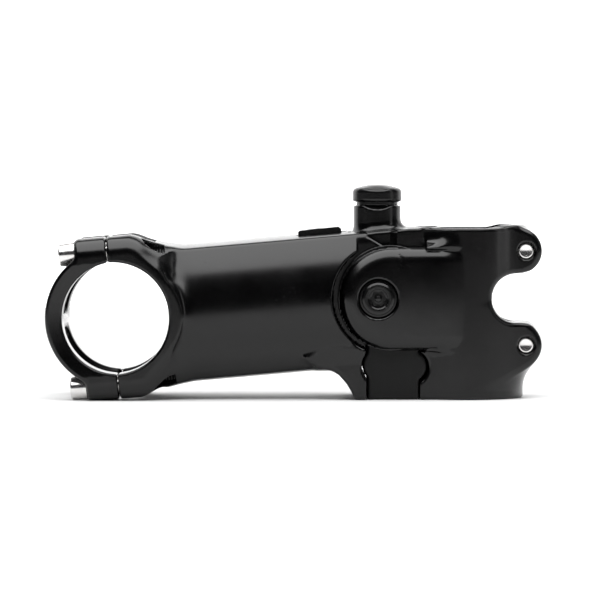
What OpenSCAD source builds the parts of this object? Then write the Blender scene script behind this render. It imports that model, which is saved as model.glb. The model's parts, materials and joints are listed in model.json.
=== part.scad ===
// Suspension handlebar stem.
// Millimetres. Origin: steerer axis at the clamp's bottom face.
// +Z runs up the steerer, the handlebar lies towards -X, and Y is the width.

/* [Steerer clamp] */
// Diameter of the steerer tube
steerer_d = 28.6; // [28.6:0.1:31.8]
// Height of the steerer clamp
clamp_h = 49; // [47:0.5:52]
// Wall of the steerer clamp
clamp_wall = 2.9; // [2.6:0.1:3.4]
// Width of the pinch slit
slit_w = 1.8; // [1:0.1:2.5]
// Width over the rear ears
ears_w = 21; // [19:0.5:23]

/* [Handlebar clamp] */
// Diameter of the handlebar's clamping zone
bar_d = 31.8; // [31.8:0.1:35]
// Width of the handlebar clamp
bar_clamp_w = 44; // [40:1:46]
// Wall of the clamp ring
bar_wall = 4.5; // [4:0.1:5]
// Width of the open middle between the clamp's two bands
bar_window_w = 21; // [16:1:24]
// Gap between faceplate and arm
faceplate_gap = 0.7; // [0.4:0.1:1.5]

/* [Arm] */
// Steerer axis to handlebar axis, measured level
reach = 99.6; // [98:0.2:102]
// Rise of the arm towards the steerer, in degrees
arm_angle = 5; // [4:0.5:6]
// Widest width of the arm's barrel
arm_w = 40; // [38:0.5:41]
// Height of the arm's barrel between its two edge lines
arm_h = 37.8; // [36:0.2:39]

/* [Pivot] */
// Steerer axis to pivot axis
pivot_back = 25; // [24.5:0.1:25.5]
// Height of the pivot axis
pivot_z = 28.9; // [28.5:0.1:29.5]
// Gap between the two cheeks
fork_gap = 30.4; // [30:0.1:31]
// Diameter of the pivot axle
axle_d = 10; // [9:0.5:10.5]

/* [Dial] */
// Diameter of the dial
dial_d = 14.2; // [13:0.1:15]
// Height of the dial's top above the clamp's bottom face
dial_top = 61.5; // [61:0.1:63]

/* [Hidden] */
$fn = 96;
eps = 0.01;
run = 0.04;            // radial clearance of a running fit

bore_r = steerer_d / 2;
tube_r = bore_r + clamp_wall;
bar_r = bar_d / 2;
bar_z = 23.5;
ring_r = bar_r + bar_wall;
axle_r = axle_d / 2;
cheek_in = fork_gap / 2;
cheek_out = 20;
cheek_x = -21;         // centre of the cheeks' round front
cheek_r = 15;
cheek_edge_r = 4;      // round of the cheeks' outer edge
crown_r = 125;         // slight barrel of the cheeks' outer face

ear_x = 15.7;
ear_r = 6.6;
ear_z = [15.3, 42.4];
pinch_x = 17.6;
m5_r = 2.5;
m5_head_r = 4.25;

// The arm's own frame starts on the handlebar axis: u runs back along the arm, w runs up.
pivot_u = (reach - pivot_back) * cos(arm_angle) + (pivot_z - bar_z) * sin(arm_angle);
pivot_w = (pivot_z - bar_z) * cos(arm_angle) - (reach - pivot_back) * sin(arm_angle);
bolt_w = 19.4;
bolt_y = 16;
plate_ear_u = 9;
spot_r = 3.9;          // spot faces under the faceplate bolts
waist = 1.2;           // depth of the faceplate's waist, and the radius that gives it
waist_r = (16 * 16 + waist * waist) / (2 * waist);
hub_r = 7.4;
arm_in = 14.8;         // half width of the arm between the cheeks
slot_hw = 9.7;         // half width of the arm's top slot
bridge_hw = 9.3;
bridge_low = 38.6;
nose_x = -32.2;        // front face of the bridge
web_x = -11.3;         // front face of the webs that close the fork
heel_x = -28.2;

boss_r = 6.85;
boss_top = 55.4;
spindle_r = 3;
guide_r = 4.25;
bushing_r = 4.6;
bushing_z = [47.5, 52];
collar_h = 1.5;
shoe_travel = 0.6;

// Cylinder along Y, centred on x, z, from y0 to y1.
module ycyl(x, z, r, y0, y1, r_end = 0) {
    translate([x, y0, z]) rotate([-90, 0, 0])
        cylinder(r1 = r, r2 = r_end > 0 ? r_end : r, h = y1 - y0);
}

// Extrudes a side outline, drawn as x and z, from y0 to y1.
module side_slab(y0, y1) {
    translate([0, y1, 0]) rotate([90, 0, 0]) linear_extrude(y1 - y0) children();
}

// Ring along Y.
module yring(x, z, r_in, r_out, y0, y1) {
    difference() {
        ycyl(x, z, r_out, y0, y1);
        ycyl(x, z, r_in, y0 - eps, y1 + eps);
    }
}

// Copies a child to both sides of the middle plane.
module both_sides() {
    children();
    mirror([0, 1, 0]) children();
}

// Places a child in the arm's own frame.
module arm_frame() {
    translate([-reach, 0, bar_z]) rotate([0, -arm_angle, 0]) children();
}

// Cylinder along the arm, at w and y, from u0 to u1.
module ucyl(w, y, r, u0, u1, r_end = 0) {
    translate([u0, y, w]) rotate([0, 90, 0])
        cylinder(r1 = r, r2 = r_end > 0 ? r_end : r, h = u1 - u0);
}

// Six-lobed drive recess along Z, cut down from z = 0.
module lobe_drive(r, depth) {
    translate([0, 0, -depth]) {
        cylinder(r = r * 0.8, h = depth + eps, $fn = 32);
        for (i = [0 : 5]) rotate([0, 0, i * 60]) translate([r * 0.78, 0, 0])
            cylinder(r = r * 0.22, h = depth + eps, $fn = 16);
    }
}

// ---------- steerer side ----------

// Side outline of one rear ear, with the lower ear's fillet down to the tube.
module ear_outline(z, with_fillet) {
    fil = 4;
    fx = tube_r + fil;
    fz = z - sqrt(pow(ear_r + fil, 2) - pow(fx - ear_x, 2));
    translate([ear_x, z]) circle(r = ear_r);
    translate([4, z - ear_r]) square([ear_x - 4, 2 * ear_r]);
    if (with_fillet) difference() {
        polygon([[6, z], [ear_x, z], [ear_x + ear_r * (fx - ear_x) / (ear_r + fil),
            z - ear_r * (z - fz) / (ear_r + fil)], [fx, fz], [6, fz]]);
        translate([fx, fz]) circle(r = fil);
    }
}

// Side outline of a cheek, with its rear edge sweeping up to the clamp's top face.
module cheek_outline() {
    sweep_r = 9.9;
    top = pivot_z - 0.1 + cheek_r;
    translate([cheek_x, pivot_z - 0.1]) circle(r = cheek_r);
    translate([cheek_x, pivot_z - 0.1 - cheek_r]) square([5 - cheek_x, 2 * cheek_r]);
    difference() {
        translate([-5, top - eps]) square([10, clamp_h - top + eps]);
        translate([-5, top + sweep_r]) circle(r = sweep_r);
    }
}

// Plan outline of a cheek: flat outside, then tangent to the round of the tube.
module cheek_plan() {
    corner = [-9, cheek_out];
    a = atan2(corner.y, corner.x) - acos(tube_r / norm(corner));
    polygon([[cheek_x - cheek_r - 1, cheek_in], [cheek_x - cheek_r - 1, cheek_out],
        corner, tube_r * [cos(a), sin(a)], [6, 8], [-8, cheek_in - 0.4], [-9, cheek_in]]);
}

// Half of a cheek's section, from its middle out to its edge, with the round outer corner.
module cheek_half_section() {
    translate([0, 8]) square([cheek_r, cheek_out - 8 - cheek_edge_r]);
    translate([0, 8]) square([cheek_r - cheek_edge_r, cheek_out - 8]);
    translate([cheek_r - cheek_edge_r, cheek_out - cheek_edge_r]) circle(r = cheek_edge_r);
}

// One cheek: side outline, plan outline, crowned face and round outer edge together.
module cheek() {
    zc = pivot_z - 0.1;
    intersection() {
        side_slab(8, cheek_out + 1) cheek_outline();
        linear_extrude(clamp_h) cheek_plan();
        translate([-40, cheek_out - crown_r, zc]) rotate([0, 90, 0])
            cylinder(r = crown_r, h = 50, $fn = 360);
        union() {
            translate([cheek_x, 0, zc]) rotate([-90, 0, 0]) rotate_extrude() intersection() {
                cheek_half_section();
                square([cheek_r, cheek_out]);
            }
            for (side = [0, 1]) translate([cheek_x, 0, zc]) mirror([0, 0, side])
                rotate([90, 0, 90]) linear_extrude(30) mirror([1, -1]) cheek_half_section();
            translate([cheek_x, 8, zc]) cube([30, cheek_out - 8 - cheek_edge_r, clamp_h - zc]);
        }
    }
}

// Webs that close the fork behind the hub, with a round root from their top up the tube.
module fork_webs() {
    low = pivot_z - 0.1 - cheek_r;
    high = low + 2 * cheek_r;
    root_r = 4.4;
    sink = 0.05;
    translate([web_x, -cheek_in - 0.4, low]) cube([-web_x, fork_gap + 0.8, 2 * cheek_r]);
    intersection() {
        rotate_extrude() difference() {
            translate([bore_r + 1, high - 1]) square([tube_r + root_r - bore_r - 1, root_r + 1]);
            translate([tube_r + root_r - sink, high + root_r - sink]) circle(r = root_r);
        }
        union() {
            both_sides() linear_extrude(clamp_h) cheek_plan();
            translate([web_x, -cheek_in - 0.4, 0]) cube([-web_x, fork_gap + 0.8, clamp_h]);
        }
        translate([web_x, -30, 0]) cube([3 - web_x, 60, clamp_h]);
    }
}

// Side outline of the bridge that carries the dial above the arm's hub.
module bridge_outline() {
    polygon([[nose_x, 47.05], [nose_x + 0.8, 47.2], [-16, 48.85], [-8, clamp_h], [-8, bridge_low],
        [nose_x + 1.8, bridge_low], [nose_x, bridge_low + 1.8]]);
}

module bridge() {
    intersection() {
        side_slab(-14, 14) bridge_outline();
        linear_extrude(clamp_h)
            polygon([[-33, -bridge_hw], [-21.4, -bridge_hw], [-19.4, -13], [0, -13], [0, 13],
                [-19.4, 13], [-21.4, bridge_hw], [-33, bridge_hw]]);
    }
}

// Round boss under the dial, with its flared foot and the two flats on its shoulder.
module dial_boss() {
    flare = 2.2;
    flat_y = 5.3;
    translate([-pivot_back, 0, 0]) difference() {
        rotate_extrude() difference() {
            translate([0, 45]) square([boss_r + flare, boss_top - 45]);
            translate([boss_r + flare, 47.9 + flare]) circle(r = flare);
            translate([boss_r, 47.9 + flare]) square([flare + 1, boss_top]);
        }
        both_sides() translate([-10, flat_y, boss_top]) rotate([-40, 0, 0])
            cube([20, 4, 4]);
        translate([nose_x + pivot_back - 20, -10, 40]) cube([20, 20, 20]);
    }
}

// Outline of the elastomer, with its two bulges and two narrower necks.
module elastomer_outline(grow = 0) {
    translate([-28.0 - grow, 0]) square([14.7 + 2 * grow, 17.6]);
    translate([-24.5, 9.7]) circle(r = 4.9 + grow);
    translate([-15.6, 9.5]) circle(r = 4.5 + grow);
}

// Seat block below the cheeks that the elastomer bears on.
module seat_block() {
    difference() {
        translate([-13.1, -cheek_in + 0.2, 0]) cube([13, fork_gap - 0.4, 13.7]);
        ycyl(-15.4, 9.2, 4.9, -20, 20);
    }
}

module clamp_body() color("#17181a") difference() {
    union() {
        cylinder(r = tube_r, h = clamp_h);
        side_slab(-ears_w / 2, ears_w / 2) ear_outline(ear_z[1], false);
        side_slab(-ears_w / 2, ears_w / 2) ear_outline(ear_z[0], true);
        both_sides() cheek();
        fork_webs();
        bridge();
        dial_boss();
        seat_block();
    }
    // steerer bore, rear window and pinch slit
    translate([0, 0, -1]) cylinder(r = bore_r, h = clamp_h + 2);
    side_slab(-25, 25) {
        translate([14.6, (ear_z[0] + ear_z[1]) / 2]) circle(r = (ear_z[1] - ear_z[0]) / 2 - ear_r);
        translate([14.6, ear_z[0] + ear_r]) square([20, ear_z[1] - ear_z[0] - 2 * ear_r]);
    }
    translate([0, -slit_w / 2, -1]) cube([30, slit_w, clamp_h + 2]);
    // pinch bolts: thread on one side, clearance and head seat on the other
    for (z = ear_z) {
        ycyl(pinch_x, z, m5_r + 0.02, -ears_w, 0);
        ycyl(pinch_x, z, m5_r + 0.3, 0, ears_w);
        ycyl(pinch_x, z, m5_head_r + 0.2, 6.2, ears_w);
    }
    // axle bore and the seats for washers and bolt heads
    ycyl(-pivot_back, pivot_z, axle_r + 0.02, -30, 30);
    both_sides() ycyl(-pivot_back, pivot_z, 5.6, 17, 30);
    // room for the hub against the tube
    ycyl(-pivot_back, pivot_z, hub_r + 0.7, -cheek_in, cheek_in);
    // guide for the brake shoe, bushing seat and circlip groove
    translate([-pivot_back, 0, 0]) {
        intersection() {
            translate([0, 0, 30]) cylinder(r = guide_r, h = 20);
            translate([-10, -3.65, 30]) cube([20, 7.3, 20]);
        }
        translate([0, 0, bushing_z[0]]) cylinder(r = bushing_r, h = 10);
        translate([0, 0, bushing_z[1] + collar_h + 0.15]) cylinder(r = bushing_r + 0.4, h = 0.7);
    }
}

// Socket screw along -Y with its head at y = 0 and its shank running to y = -len.
module socket_screw(r, head_r, head_h, len, key_r) {
    difference() {
        union() {
            ycyl(0, 0, head_r, 0, head_h - 0.5);
            ycyl(0, 0, head_r, head_h - 0.5 - eps, head_h, head_r - 0.5);
            ycyl(0, 0, r, -len + 0.6, eps);
            ycyl(0, 0, r - 0.6, -len, -len + 0.6 + eps, r);
        }
        translate([0, head_h, 0]) rotate([-90, 0, 0]) translate([0, 0, -2.6])
            cylinder(r = key_r, h = 3, $fn = 6);
    }
}

module pinch_bolts() color("silver") for (z = ear_z)
    translate([pinch_x, 6.2, z]) socket_screw(m5_r, m5_head_r, 5, 15.8, 2.3);

module pivot_axle() color("gray") difference() {
    union() {
        ycyl(-pivot_back, pivot_z, axle_r, -16.4, 16.4);
        both_sides() ycyl(-pivot_back, pivot_z, axle_r, 16.4 - eps, 17, axle_r - 0.5);
    }
    both_sides() ycyl(-pivot_back, pivot_z, 3.02, 7, 18);
}

// Low-head pivot bolt with a lobed recess, on the +Y side.
module pivot_bolt() {
    translate([-pivot_back, 0, pivot_z]) difference() {
        union() {
            ycyl(0, 0, 4.7, 17.8, 19);
            ycyl(0, 0, 4.7, 19 - eps, 19.6, 4.1);
            ycyl(0, 0, 3, 8, 17.8 + eps);
        }
        translate([0, 19.6, 0]) rotate([-90, 0, 0]) lobe_drive(2.7, 1.5);
    }
}

module pivot_bolt_left() color("#202124") mirror([0, 1, 0]) pivot_bolt();

module pivot_bolt_right() color("#202124") pivot_bolt();

module pivot_washers() color("#2a2b2e") both_sides()
    yring(-pivot_back, pivot_z, 3.1, 5.5, 17, 17.8);

module elastomer_block() color("#1c1d1d") difference() {
    side_slab(-cheek_in + 0.4, cheek_in - 0.4) elastomer_outline();
    translate([0, 0, -1]) cylinder(r = tube_r + 0.05, h = 30);
}

module rebound_bumper() color("#303030") translate([-33.35, -6, 41.2]) cube([1.15, 12, 4.6]);

module dial_bushing() color("darkgoldenrod") translate([-pivot_back, 0, bushing_z[0]])
    difference() {
        cylinder(r = bushing_r, h = bushing_z[1] - bushing_z[0]);
        translate([0, 0, -1]) cylinder(r = spindle_r + run, h = 10);
    }

module spindle_circlip() color("gray")
    translate([-pivot_back, 0, bushing_z[1] + collar_h + 0.2]) difference() {
        cylinder(r = bushing_r + 0.35, h = 0.6);
        translate([0, 0, -1]) cylinder(r = 3.7, h = 3);
        translate([0, -1.2, -1]) cube([10, 2.4, 3]);
    }

module dial_seal() color("#202020") translate([-pivot_back, 0, 54.86])
    rotate_extrude() translate([3.52, 0]) circle(r = 0.46, $fn = 32);

// ---------- arm side ----------

// Cross-section of the arm's barrel: two bulging flanks under a shallow crown.
module barrel_section() {
    seam_y = 14;
    half = arm_h / 2;
    flank_r = (half * half + pow(arm_w / 2 - seam_y, 2)) / (2 * (arm_w / 2 - seam_y));
    crown = 1.2;
    top_r = (seam_y * seam_y + crown * crown) / (2 * crown);
    intersection() {
        translate([flank_r - arm_w / 2, 0]) circle(r = flank_r, $fn = 240);
        translate([arm_w / 2 - flank_r, 0]) circle(r = flank_r, $fn = 240);
        translate([0, half + crown - top_r]) circle(r = top_r, $fn = 360);
        translate([0, top_r - half - crown * 0.6]) circle(r = top_r, $fn = 360);
    }
}

// Straight barrel of the arm from u0 to u1, on the line through the pivot.
module barrel(u0, u1) {
    arm_frame() translate([u0, 0, pivot_w]) rotate([90, 0, 90])
        linear_extrude(u1 - u0) barrel_section();
}

// Side outline of the heel that hangs below the barrel and bears on the elastomer.
module heel_outline() {
    polygon([[-46, 12], [-42, 8.9], [-38.5, 8.4], [-36.2, 7.0], [-34, 4.5], [-32.6, 2.2],
        [-31.7, 0], [-26, 0], [-26, 14.5], [-40, 14.5]]);
}

// Side outline of all that is cut away behind the arm's horns and heel.
module rear_cut_outline() {
    polygon([[-28, 60], [-28, 46.7], [-23, 43.7], [-22, 38.5], [-20, 33.5], [-25, 28.9],
        [-25, 23], [-27.9, 18], [-27.9, 14], [heel_x, 6], [heel_x, -5], [0, -5], [0, 60]]);
    elastomer_outline(0.25);
}

// Side outline of the pocket in the arm's outer skin, round a cheek.
module pocket_outline() {
    translate([-22.4, 29]) circle(r = 15.65);
    translate([-30.8, 29]) square([30, 31]);
    translate([heel_x, 13.4]) square([28, 20]);
}

// Side outline of the clamp on the arm's end, in the arm's own frame.
module arm_clamp_outline() {
    intersection() {
        translate([faceplate_gap / 2, -40]) square([60, 80]);
        union() {
            circle(r = ring_r);
            polygon([[0, 22.9], [5.4, 22.9], [6.6, 22.4], [14.9, 13.9], [0, 0]]);
            polygon([[0, 0], [16, -12], [18, -19.4], [14.6, -19.7], [7.4, -22.3], [4.4, -23.4],
                [0, -23.4]]);
        }
    }
}

// Section of the handlebar clamp across the arm, with its large round corners.
module clamp_section() {
    corner_r = 6;
    half_h = 22.9;
    for (high = [-1, 1]) for (side = [-1, 1])
        translate([side * (bar_clamp_w / 2 - corner_r), high * (half_h - corner_r)])
            circle(r = corner_r);
    square([bar_clamp_w, 2 * (half_h - corner_r)], center = true);
    translate([corner_r - bar_clamp_w / 2, -half_h - 1])
        square([bar_clamp_w - 2 * corner_r, 2 * half_h + 2]);
}

// Straight extrusion of the clamp's section from u0 to u1.
module clamp_bar(u0, u1) {
    translate([u0, 0, 0]) rotate([90, 0, 90]) linear_extrude(u1 - u0) clamp_section();
}

// Clamp threads, along the arm.
module clamp_holes(r, u0, u1) {
    for (w = [-bolt_w, bolt_w]) both_sides() ucyl(w, bolt_y, r, u0, u1);
}

// Barrel, heel and horns, before the bores.
module arm_blank() {
    difference() {
        union() {
            barrel(14, 81);
            side_slab(-17.3, 17.3) heel_outline();
        }
        side_slab(-30, 30) rear_cut_outline();
        both_sides() side_slab(arm_in, 30) pocket_outline();
    }
    ycyl(-pivot_back, pivot_z, hub_r, -arm_in, arm_in);
    arm_frame() intersection() {
        side_slab(-bar_clamp_w / 2 - 1, bar_clamp_w / 2 + 1) arm_clamp_outline();
        clamp_bar(0, 30);
    }
}

module arm_body() {
    difference() {
        arm_blank();
        arm_frame() {
            // bar bore with its relieved, open middle
            ycyl(0, 0, bar_r, -40, 40);
            ycyl(0, 0, bar_r + 1.4, -bar_window_w / 2, bar_window_w / 2);
            translate([-1, -bar_window_w / 2, 17.6]) cube([13, bar_window_w, 10]);
            translate([-1, -bar_window_w / 2, -27.8]) cube([9, bar_window_w, 10]);
            // lightening cavity, open to the bar
            translate([8, 0, pivot_w]) rotate([90, 0, 90]) linear_extrude(42)
                intersection() {
                    square([24, 27], center = true);
                    circle(r = 16.4);
                }
            clamp_holes(m5_r + 0.02, -1, 14);
        }
        // top slot for the bridge, and the seat of the rebound plate
        translate([-33.55, -slot_hw, pivot_z + hub_r + 0.3]) cube([20, 2 * slot_hw, 20]);
        arm_frame() translate([53.4, -7.2, 18.2]) cube([14, 14.4, 10]);
        arm_frame() for (y = [-4, 4]) translate([58.4, y, 8]) cylinder(r = 1.27, h = 20, $fn = 32);
        // hub bore, bushing flange seats and seal grooves
        ycyl(-pivot_back, pivot_z, 6.2, -20, 20);
        both_sides() ycyl(-pivot_back, pivot_z, 7.25, 13.8, 20);
        both_sides() yring(-pivot_back, pivot_z, 8.3, 9.5, 13.8, 20);
        // waist for the friction ring
        yring(-pivot_back, pivot_z, 7, 12, -4.5, 4.5);
        // clearance round the hub between its two ends
        difference() {
            translate([-33.55, -slot_hw, 18]) cube([20, 2 * slot_hw, 30]);
            ycyl(-pivot_back, pivot_z, hub_r, -20, 20);
            translate([-60, -20, 10]) cube([60 - pivot_back - 3, 40, pivot_z + hub_r + 0.3 - 10]);
        }
    }
}

module stem_arm() color("#141517") arm_body();

// Side outline of the faceplate, in the arm's own frame.
module faceplate_outline() {
    intersection() {
        translate([-60 - faceplate_gap / 2, -40]) square([60, 80]);
        union() {
            circle(r = ring_r);
            polygon([[0, 22.9], [-8.2, 22.9], [-plate_ear_u, 22.1], [-plate_ear_u, 17], [0, 0]]);
            polygon([[0, -22.9], [-8.2, -22.8], [-plate_ear_u, -22.1], [-plate_ear_u, -17], [0, 0]]);
        }
    }
}

module faceplate() color("#141517") arm_frame() difference() {
    intersection() {
        side_slab(-bar_clamp_w / 2 - 1, bar_clamp_w / 2 + 1) faceplate_outline();
        clamp_bar(-30, 0);
    }
    // shallow waist in each side face
    both_sides() translate([-30, bar_clamp_w / 2 - waist + waist_r, 0]) rotate([0, 90, 0])
        cylinder(r = waist_r, h = 31, $fn = 360);
    ycyl(0, 0, bar_r, -40, 40);
    both_sides_w() translate([-40, -bar_window_w / 2, 2.2]) cube([60, bar_window_w, 40]);
    clamp_holes(m5_r + 0.35, -30, 10);
    clamp_holes(spot_r, -30, -plate_ear_u);
}

// Copies a child to both sides of the arm's own middle line.
module both_sides_w() {
    children();
    mirror([0, 0, 1]) children();
}

// Bolts with tall conical heads, from the faceplate into the arm.
module faceplate_bolts() color("silver") arm_frame()
    for (w = [-bolt_w, bolt_w]) both_sides() difference() {
        union() {
            ucyl(w, bolt_y, 3, -plate_ear_u - 4.8, -plate_ear_u - 4.4 + eps, 3.1);
            ucyl(w, bolt_y, 3.1, -plate_ear_u - 4.4, -plate_ear_u, 3.35);
            ucyl(w, bolt_y, m5_r, -plate_ear_u - eps, 8.5);
        }
        ucyl(w, bolt_y, 2.3, -plate_ear_u - 5, -plate_ear_u - 2.2, $fn = 6);
    }

// Flanged bushing on the +Y side of the hub.
module pivot_bushing() {
    difference() {
        union() {
            ycyl(-pivot_back, pivot_z, 6.18, 7, 14.6);
            ycyl(-pivot_back, pivot_z, 7.2, 13.85, 14.6);
        }
        ycyl(-pivot_back, pivot_z, axle_r + run, 0, 20);
    }
}

module pivot_bushing_left() color("darkgoldenrod") mirror([0, 1, 0]) pivot_bushing();

module pivot_bushing_right() color("darkgoldenrod") pivot_bushing();

module thrust_washers() color("#d8d8d0") both_sides()
    yring(-pivot_back, pivot_z, axle_r + 0.1, 7.2, 14.62, 15.12);

module pivot_seals() color("#202020") both_sides()
    yring(-pivot_back, pivot_z, 8.35, 9.45, 13.9, 15.1);

module friction_ring() color("gray") yring(-pivot_back, pivot_z, 7.01, 7.5, -4.45, 4.45);

// Stop plate in the arm's top slot, in front of the dial.
module rebound_plate() color("#1a1b1d") arm_frame() difference() {
    side_slab(-7, 7) polygon([[53.6, 18.3], [53.6, 19.6], [54.2, 20.0], [65.4, 20.2], [66.1, 19.5],
        [66.1, 18.3]]);
    for (y = [-4, 4]) translate([58.4, y, 8]) cylinder(r = 1.6, h = 20, $fn = 32);
    for (y = [-4, 4]) translate([58.4, y, 19.1]) cylinder(r = 2.4, h = 20, $fn = 32);
}

module rebound_plate_screws() color("#303134") arm_frame() for (y = [-4, 4])
    translate([58.4, y, 0]) difference() {
        union() {
            translate([0, 0, 19.1]) cylinder(r = 2.3, h = 0.9, $fn = 32);
            translate([0, 0, 13]) cylinder(r = 1.25, h = 6.2, $fn = 32);
        }
        translate([0, 0, 19.5]) cylinder(r = 1, h = 1, $fn = 6);
    }

// ---------- dial and brake ----------

module dial_cap() color("#141517") translate([-pivot_back, 0, 0]) difference() {
    union() {
        translate([0, 0, 55.46]) cylinder(r = 6, h = 1.2);
        translate([0, 0, 56.4]) cylinder(r = dial_d / 2, h = 3.7);
        intersection() {
            translate([0, 0, 56.5]) cylinder(r = dial_d / 2, h = 6);
            translate([0, 0, dial_top - 18]) sphere(r = 18, $fn = 128);
        }
    }
    translate([0, 0, 55]) cylinder(r = 2.5, h = 4);
    translate([0, 0, 55]) cylinder(r = 1.6, h = 8);
    translate([0, 0, 60.4]) cylinder(r = 2.5, h = 3);
    // the two flats of the dial line up with those of the boss at rest
    both_sides() translate([-10, 4, 61.04]) rotate([-25, 0, 0]) cube([20, 6, 3]);
}

module dial_spindle() color("gray") translate([-pivot_back, 0, 0]) difference() {
    union() {
        translate([0, 0, 40.4]) cylinder(r = spindle_r, h = 15);
        translate([0, 0, bushing_z[1] + 0.05]) cylinder(r = bushing_r - run, h = collar_h);
        translate([0, 0, 55]) cylinder(r = 2.49, h = 3.9);
    }
    translate([0, 0, 50]) cylinder(r = 1.26, h = 12);
}

module dial_screw() color("#202124") translate([-pivot_back, 0, 0]) difference() {
    union() {
        translate([0, 0, 60.4]) cylinder(r = 2.4, h = 0.9);
        translate([0, 0, 51]) cylinder(r = 1.25, h = 9.5);
    }
    translate([0, 0, 61.3]) lobe_drive(1.3, 0.7);
}

module brake_shoe() color("gray") translate([-pivot_back, 0, 0]) difference() {
    intersection() {
        translate([0, 0, 38.4]) cylinder(r = guide_r - run, h = 6);
        translate([-10, -3.6, 38]) cube([20, 7.2, 10]);
    }
    translate([0, 0, 39.4]) cylinder(r = spindle_r + run, h = 10);
}

module brake_lining() color("saddlebrown") difference() {
    translate([-pivot_back, 0, 36.4]) intersection() {
        cylinder(r = guide_r - run, h = 2);
        translate([-10, -3.6, 0]) cube([20, 7.2, 2]);
    }
    ycyl(-pivot_back, pivot_z, 7.5 + shoe_travel + 0.05, -10, 10);
}

clamp_body();
pinch_bolts();
pivot_axle();
pivot_bolt_left();
pivot_bolt_right();
pivot_washers();
elastomer_block();
rebound_bumper();
dial_bushing();
spindle_circlip();
dial_seal();
stem_arm();
faceplate();
faceplate_bolts();
pivot_bushing_left();
pivot_bushing_right();
thrust_washers();
pivot_seals();
friction_ring();
rebound_plate();
rebound_plate_screws();
dial_cap();
dial_spindle();
dial_screw();
brake_shoe();
brake_lining();
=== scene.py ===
"""Looks of a suspension handlebar stem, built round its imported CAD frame.

The forged alloy bodies are meshed from signed-distance fields, so that every edge and root has a
true fillet. Turned parts are lathed. Hidden parts keep their CAD shape and get a finish.
Sizes are in millimetres inside the sub-assemblies and in metres in the Blender objects.
"""

import json
import logging
import math
from dataclasses import dataclass, field
from enum import Enum
from typing import Callable, Sequence

import bpy
import numpy as np
from mathutils import Matrix, Vector

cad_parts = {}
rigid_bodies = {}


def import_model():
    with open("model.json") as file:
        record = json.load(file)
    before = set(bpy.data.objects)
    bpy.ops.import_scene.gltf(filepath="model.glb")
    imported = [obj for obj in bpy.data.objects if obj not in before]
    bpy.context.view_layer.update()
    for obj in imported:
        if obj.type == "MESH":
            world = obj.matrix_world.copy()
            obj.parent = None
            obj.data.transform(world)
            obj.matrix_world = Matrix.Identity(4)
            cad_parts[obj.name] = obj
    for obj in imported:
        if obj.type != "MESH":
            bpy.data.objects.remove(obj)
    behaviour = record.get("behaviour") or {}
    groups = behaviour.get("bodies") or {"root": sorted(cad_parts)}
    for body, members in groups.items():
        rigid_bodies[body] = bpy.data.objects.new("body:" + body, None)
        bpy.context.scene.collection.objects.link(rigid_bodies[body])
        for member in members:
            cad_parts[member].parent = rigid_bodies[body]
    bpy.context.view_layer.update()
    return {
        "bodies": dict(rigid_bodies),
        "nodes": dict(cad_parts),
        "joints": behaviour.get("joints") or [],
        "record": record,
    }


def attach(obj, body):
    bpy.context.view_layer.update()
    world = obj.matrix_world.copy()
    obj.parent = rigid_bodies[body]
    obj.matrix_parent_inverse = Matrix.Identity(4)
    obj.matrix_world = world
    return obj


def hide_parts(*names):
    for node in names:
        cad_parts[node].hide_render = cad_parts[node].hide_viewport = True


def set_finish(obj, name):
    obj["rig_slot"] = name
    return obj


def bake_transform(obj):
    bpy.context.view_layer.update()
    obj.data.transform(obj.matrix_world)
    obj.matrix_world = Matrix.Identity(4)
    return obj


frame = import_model()

LOG = logging.getLogger("stem")
MM = 0.001

Array = np.ndarray
Field = Callable[[Array, Array, Array], Array]


class Side(Enum):
    """The two sides of the stem across its middle plane."""

    LEFT = -1
    RIGHT = 1


# ---------------------------------------------------------------- distance fields


def smax(a: Array, b: Array, r: float | Array) -> Array:
    """Intersects two fields with a rounded edge.

    Args:
        a: first field.
        b: second field.
        r: reach of the rounding, about 1.2 times the edge radius.

    Returns:
        The field of what lies in both.
    """
    h = np.maximum(r - np.abs(a - b), 0.0) / r
    return np.maximum(a, b) + h * h * (r * 0.25)


def smin(a: Array, b: Array, r: float | Array) -> Array:
    """Unites two fields with a fillet in the root.

    Args:
        a: first field.
        b: second field.
        r: reach of the fillet.

    Returns:
        The field of what lies in either.
    """
    return -smax(-a, -b, r)


def cut(a: Array, b: Array, r: float) -> Array:
    """Takes b out of a and rounds the edge by r."""
    return smax(a, -b, r)


def disc(p: Array, q: Array, cp: float, cq: float, r: float) -> Array:
    """Distance to a circle in the p, q plane."""
    return np.hypot(p - cp, q - cq) - r


def span(p: Array, low: float, high: float) -> Array:
    """Distance to the layer between low and high."""
    return np.maximum(low - p, p - high)


def rect(p: Array, q: Array, p0: float, p1: float, q0: float, q1: float) -> Array:
    """Distance to a rectangle in the p, q plane."""
    a, b = span(p, p0, p1), span(q, q0, q1)
    return np.hypot(np.maximum(a, 0), np.maximum(b, 0)) + np.minimum(np.maximum(a, b), 0)


def outline(p: Array, q: Array, points: Sequence[tuple[float, float]]) -> Array:
    """Distance to a closed polygon in the p, q plane.

    Args:
        p: first coordinate.
        q: second coordinate.
        points: corners in order, either way round.

    Returns:
        The signed distance, negative inside.
    """
    best = None
    inside = None
    ends = list(points[1:]) + [points[0]]
    for (ap, aq), (bp, bq) in zip(points, ends, strict=True):
        ep, eq = bp - ap, bq - aq
        wp, wq = p - ap, q - aq
        t = np.clip((wp * ep + wq * eq) / (ep * ep + eq * eq), 0, 1)
        d2 = (wp - ep * t) ** 2 + (wq - eq * t) ** 2
        best = d2 if best is None else np.minimum(best, d2)
        if eq != 0:
            hit = ((aq > q) != (bq > q)) & (p < ep * (q - aq) / eq + ap)
            inside = hit if inside is None else inside ^ hit
    return np.where(inside, -1.0, 1.0) * np.sqrt(best)


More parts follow.
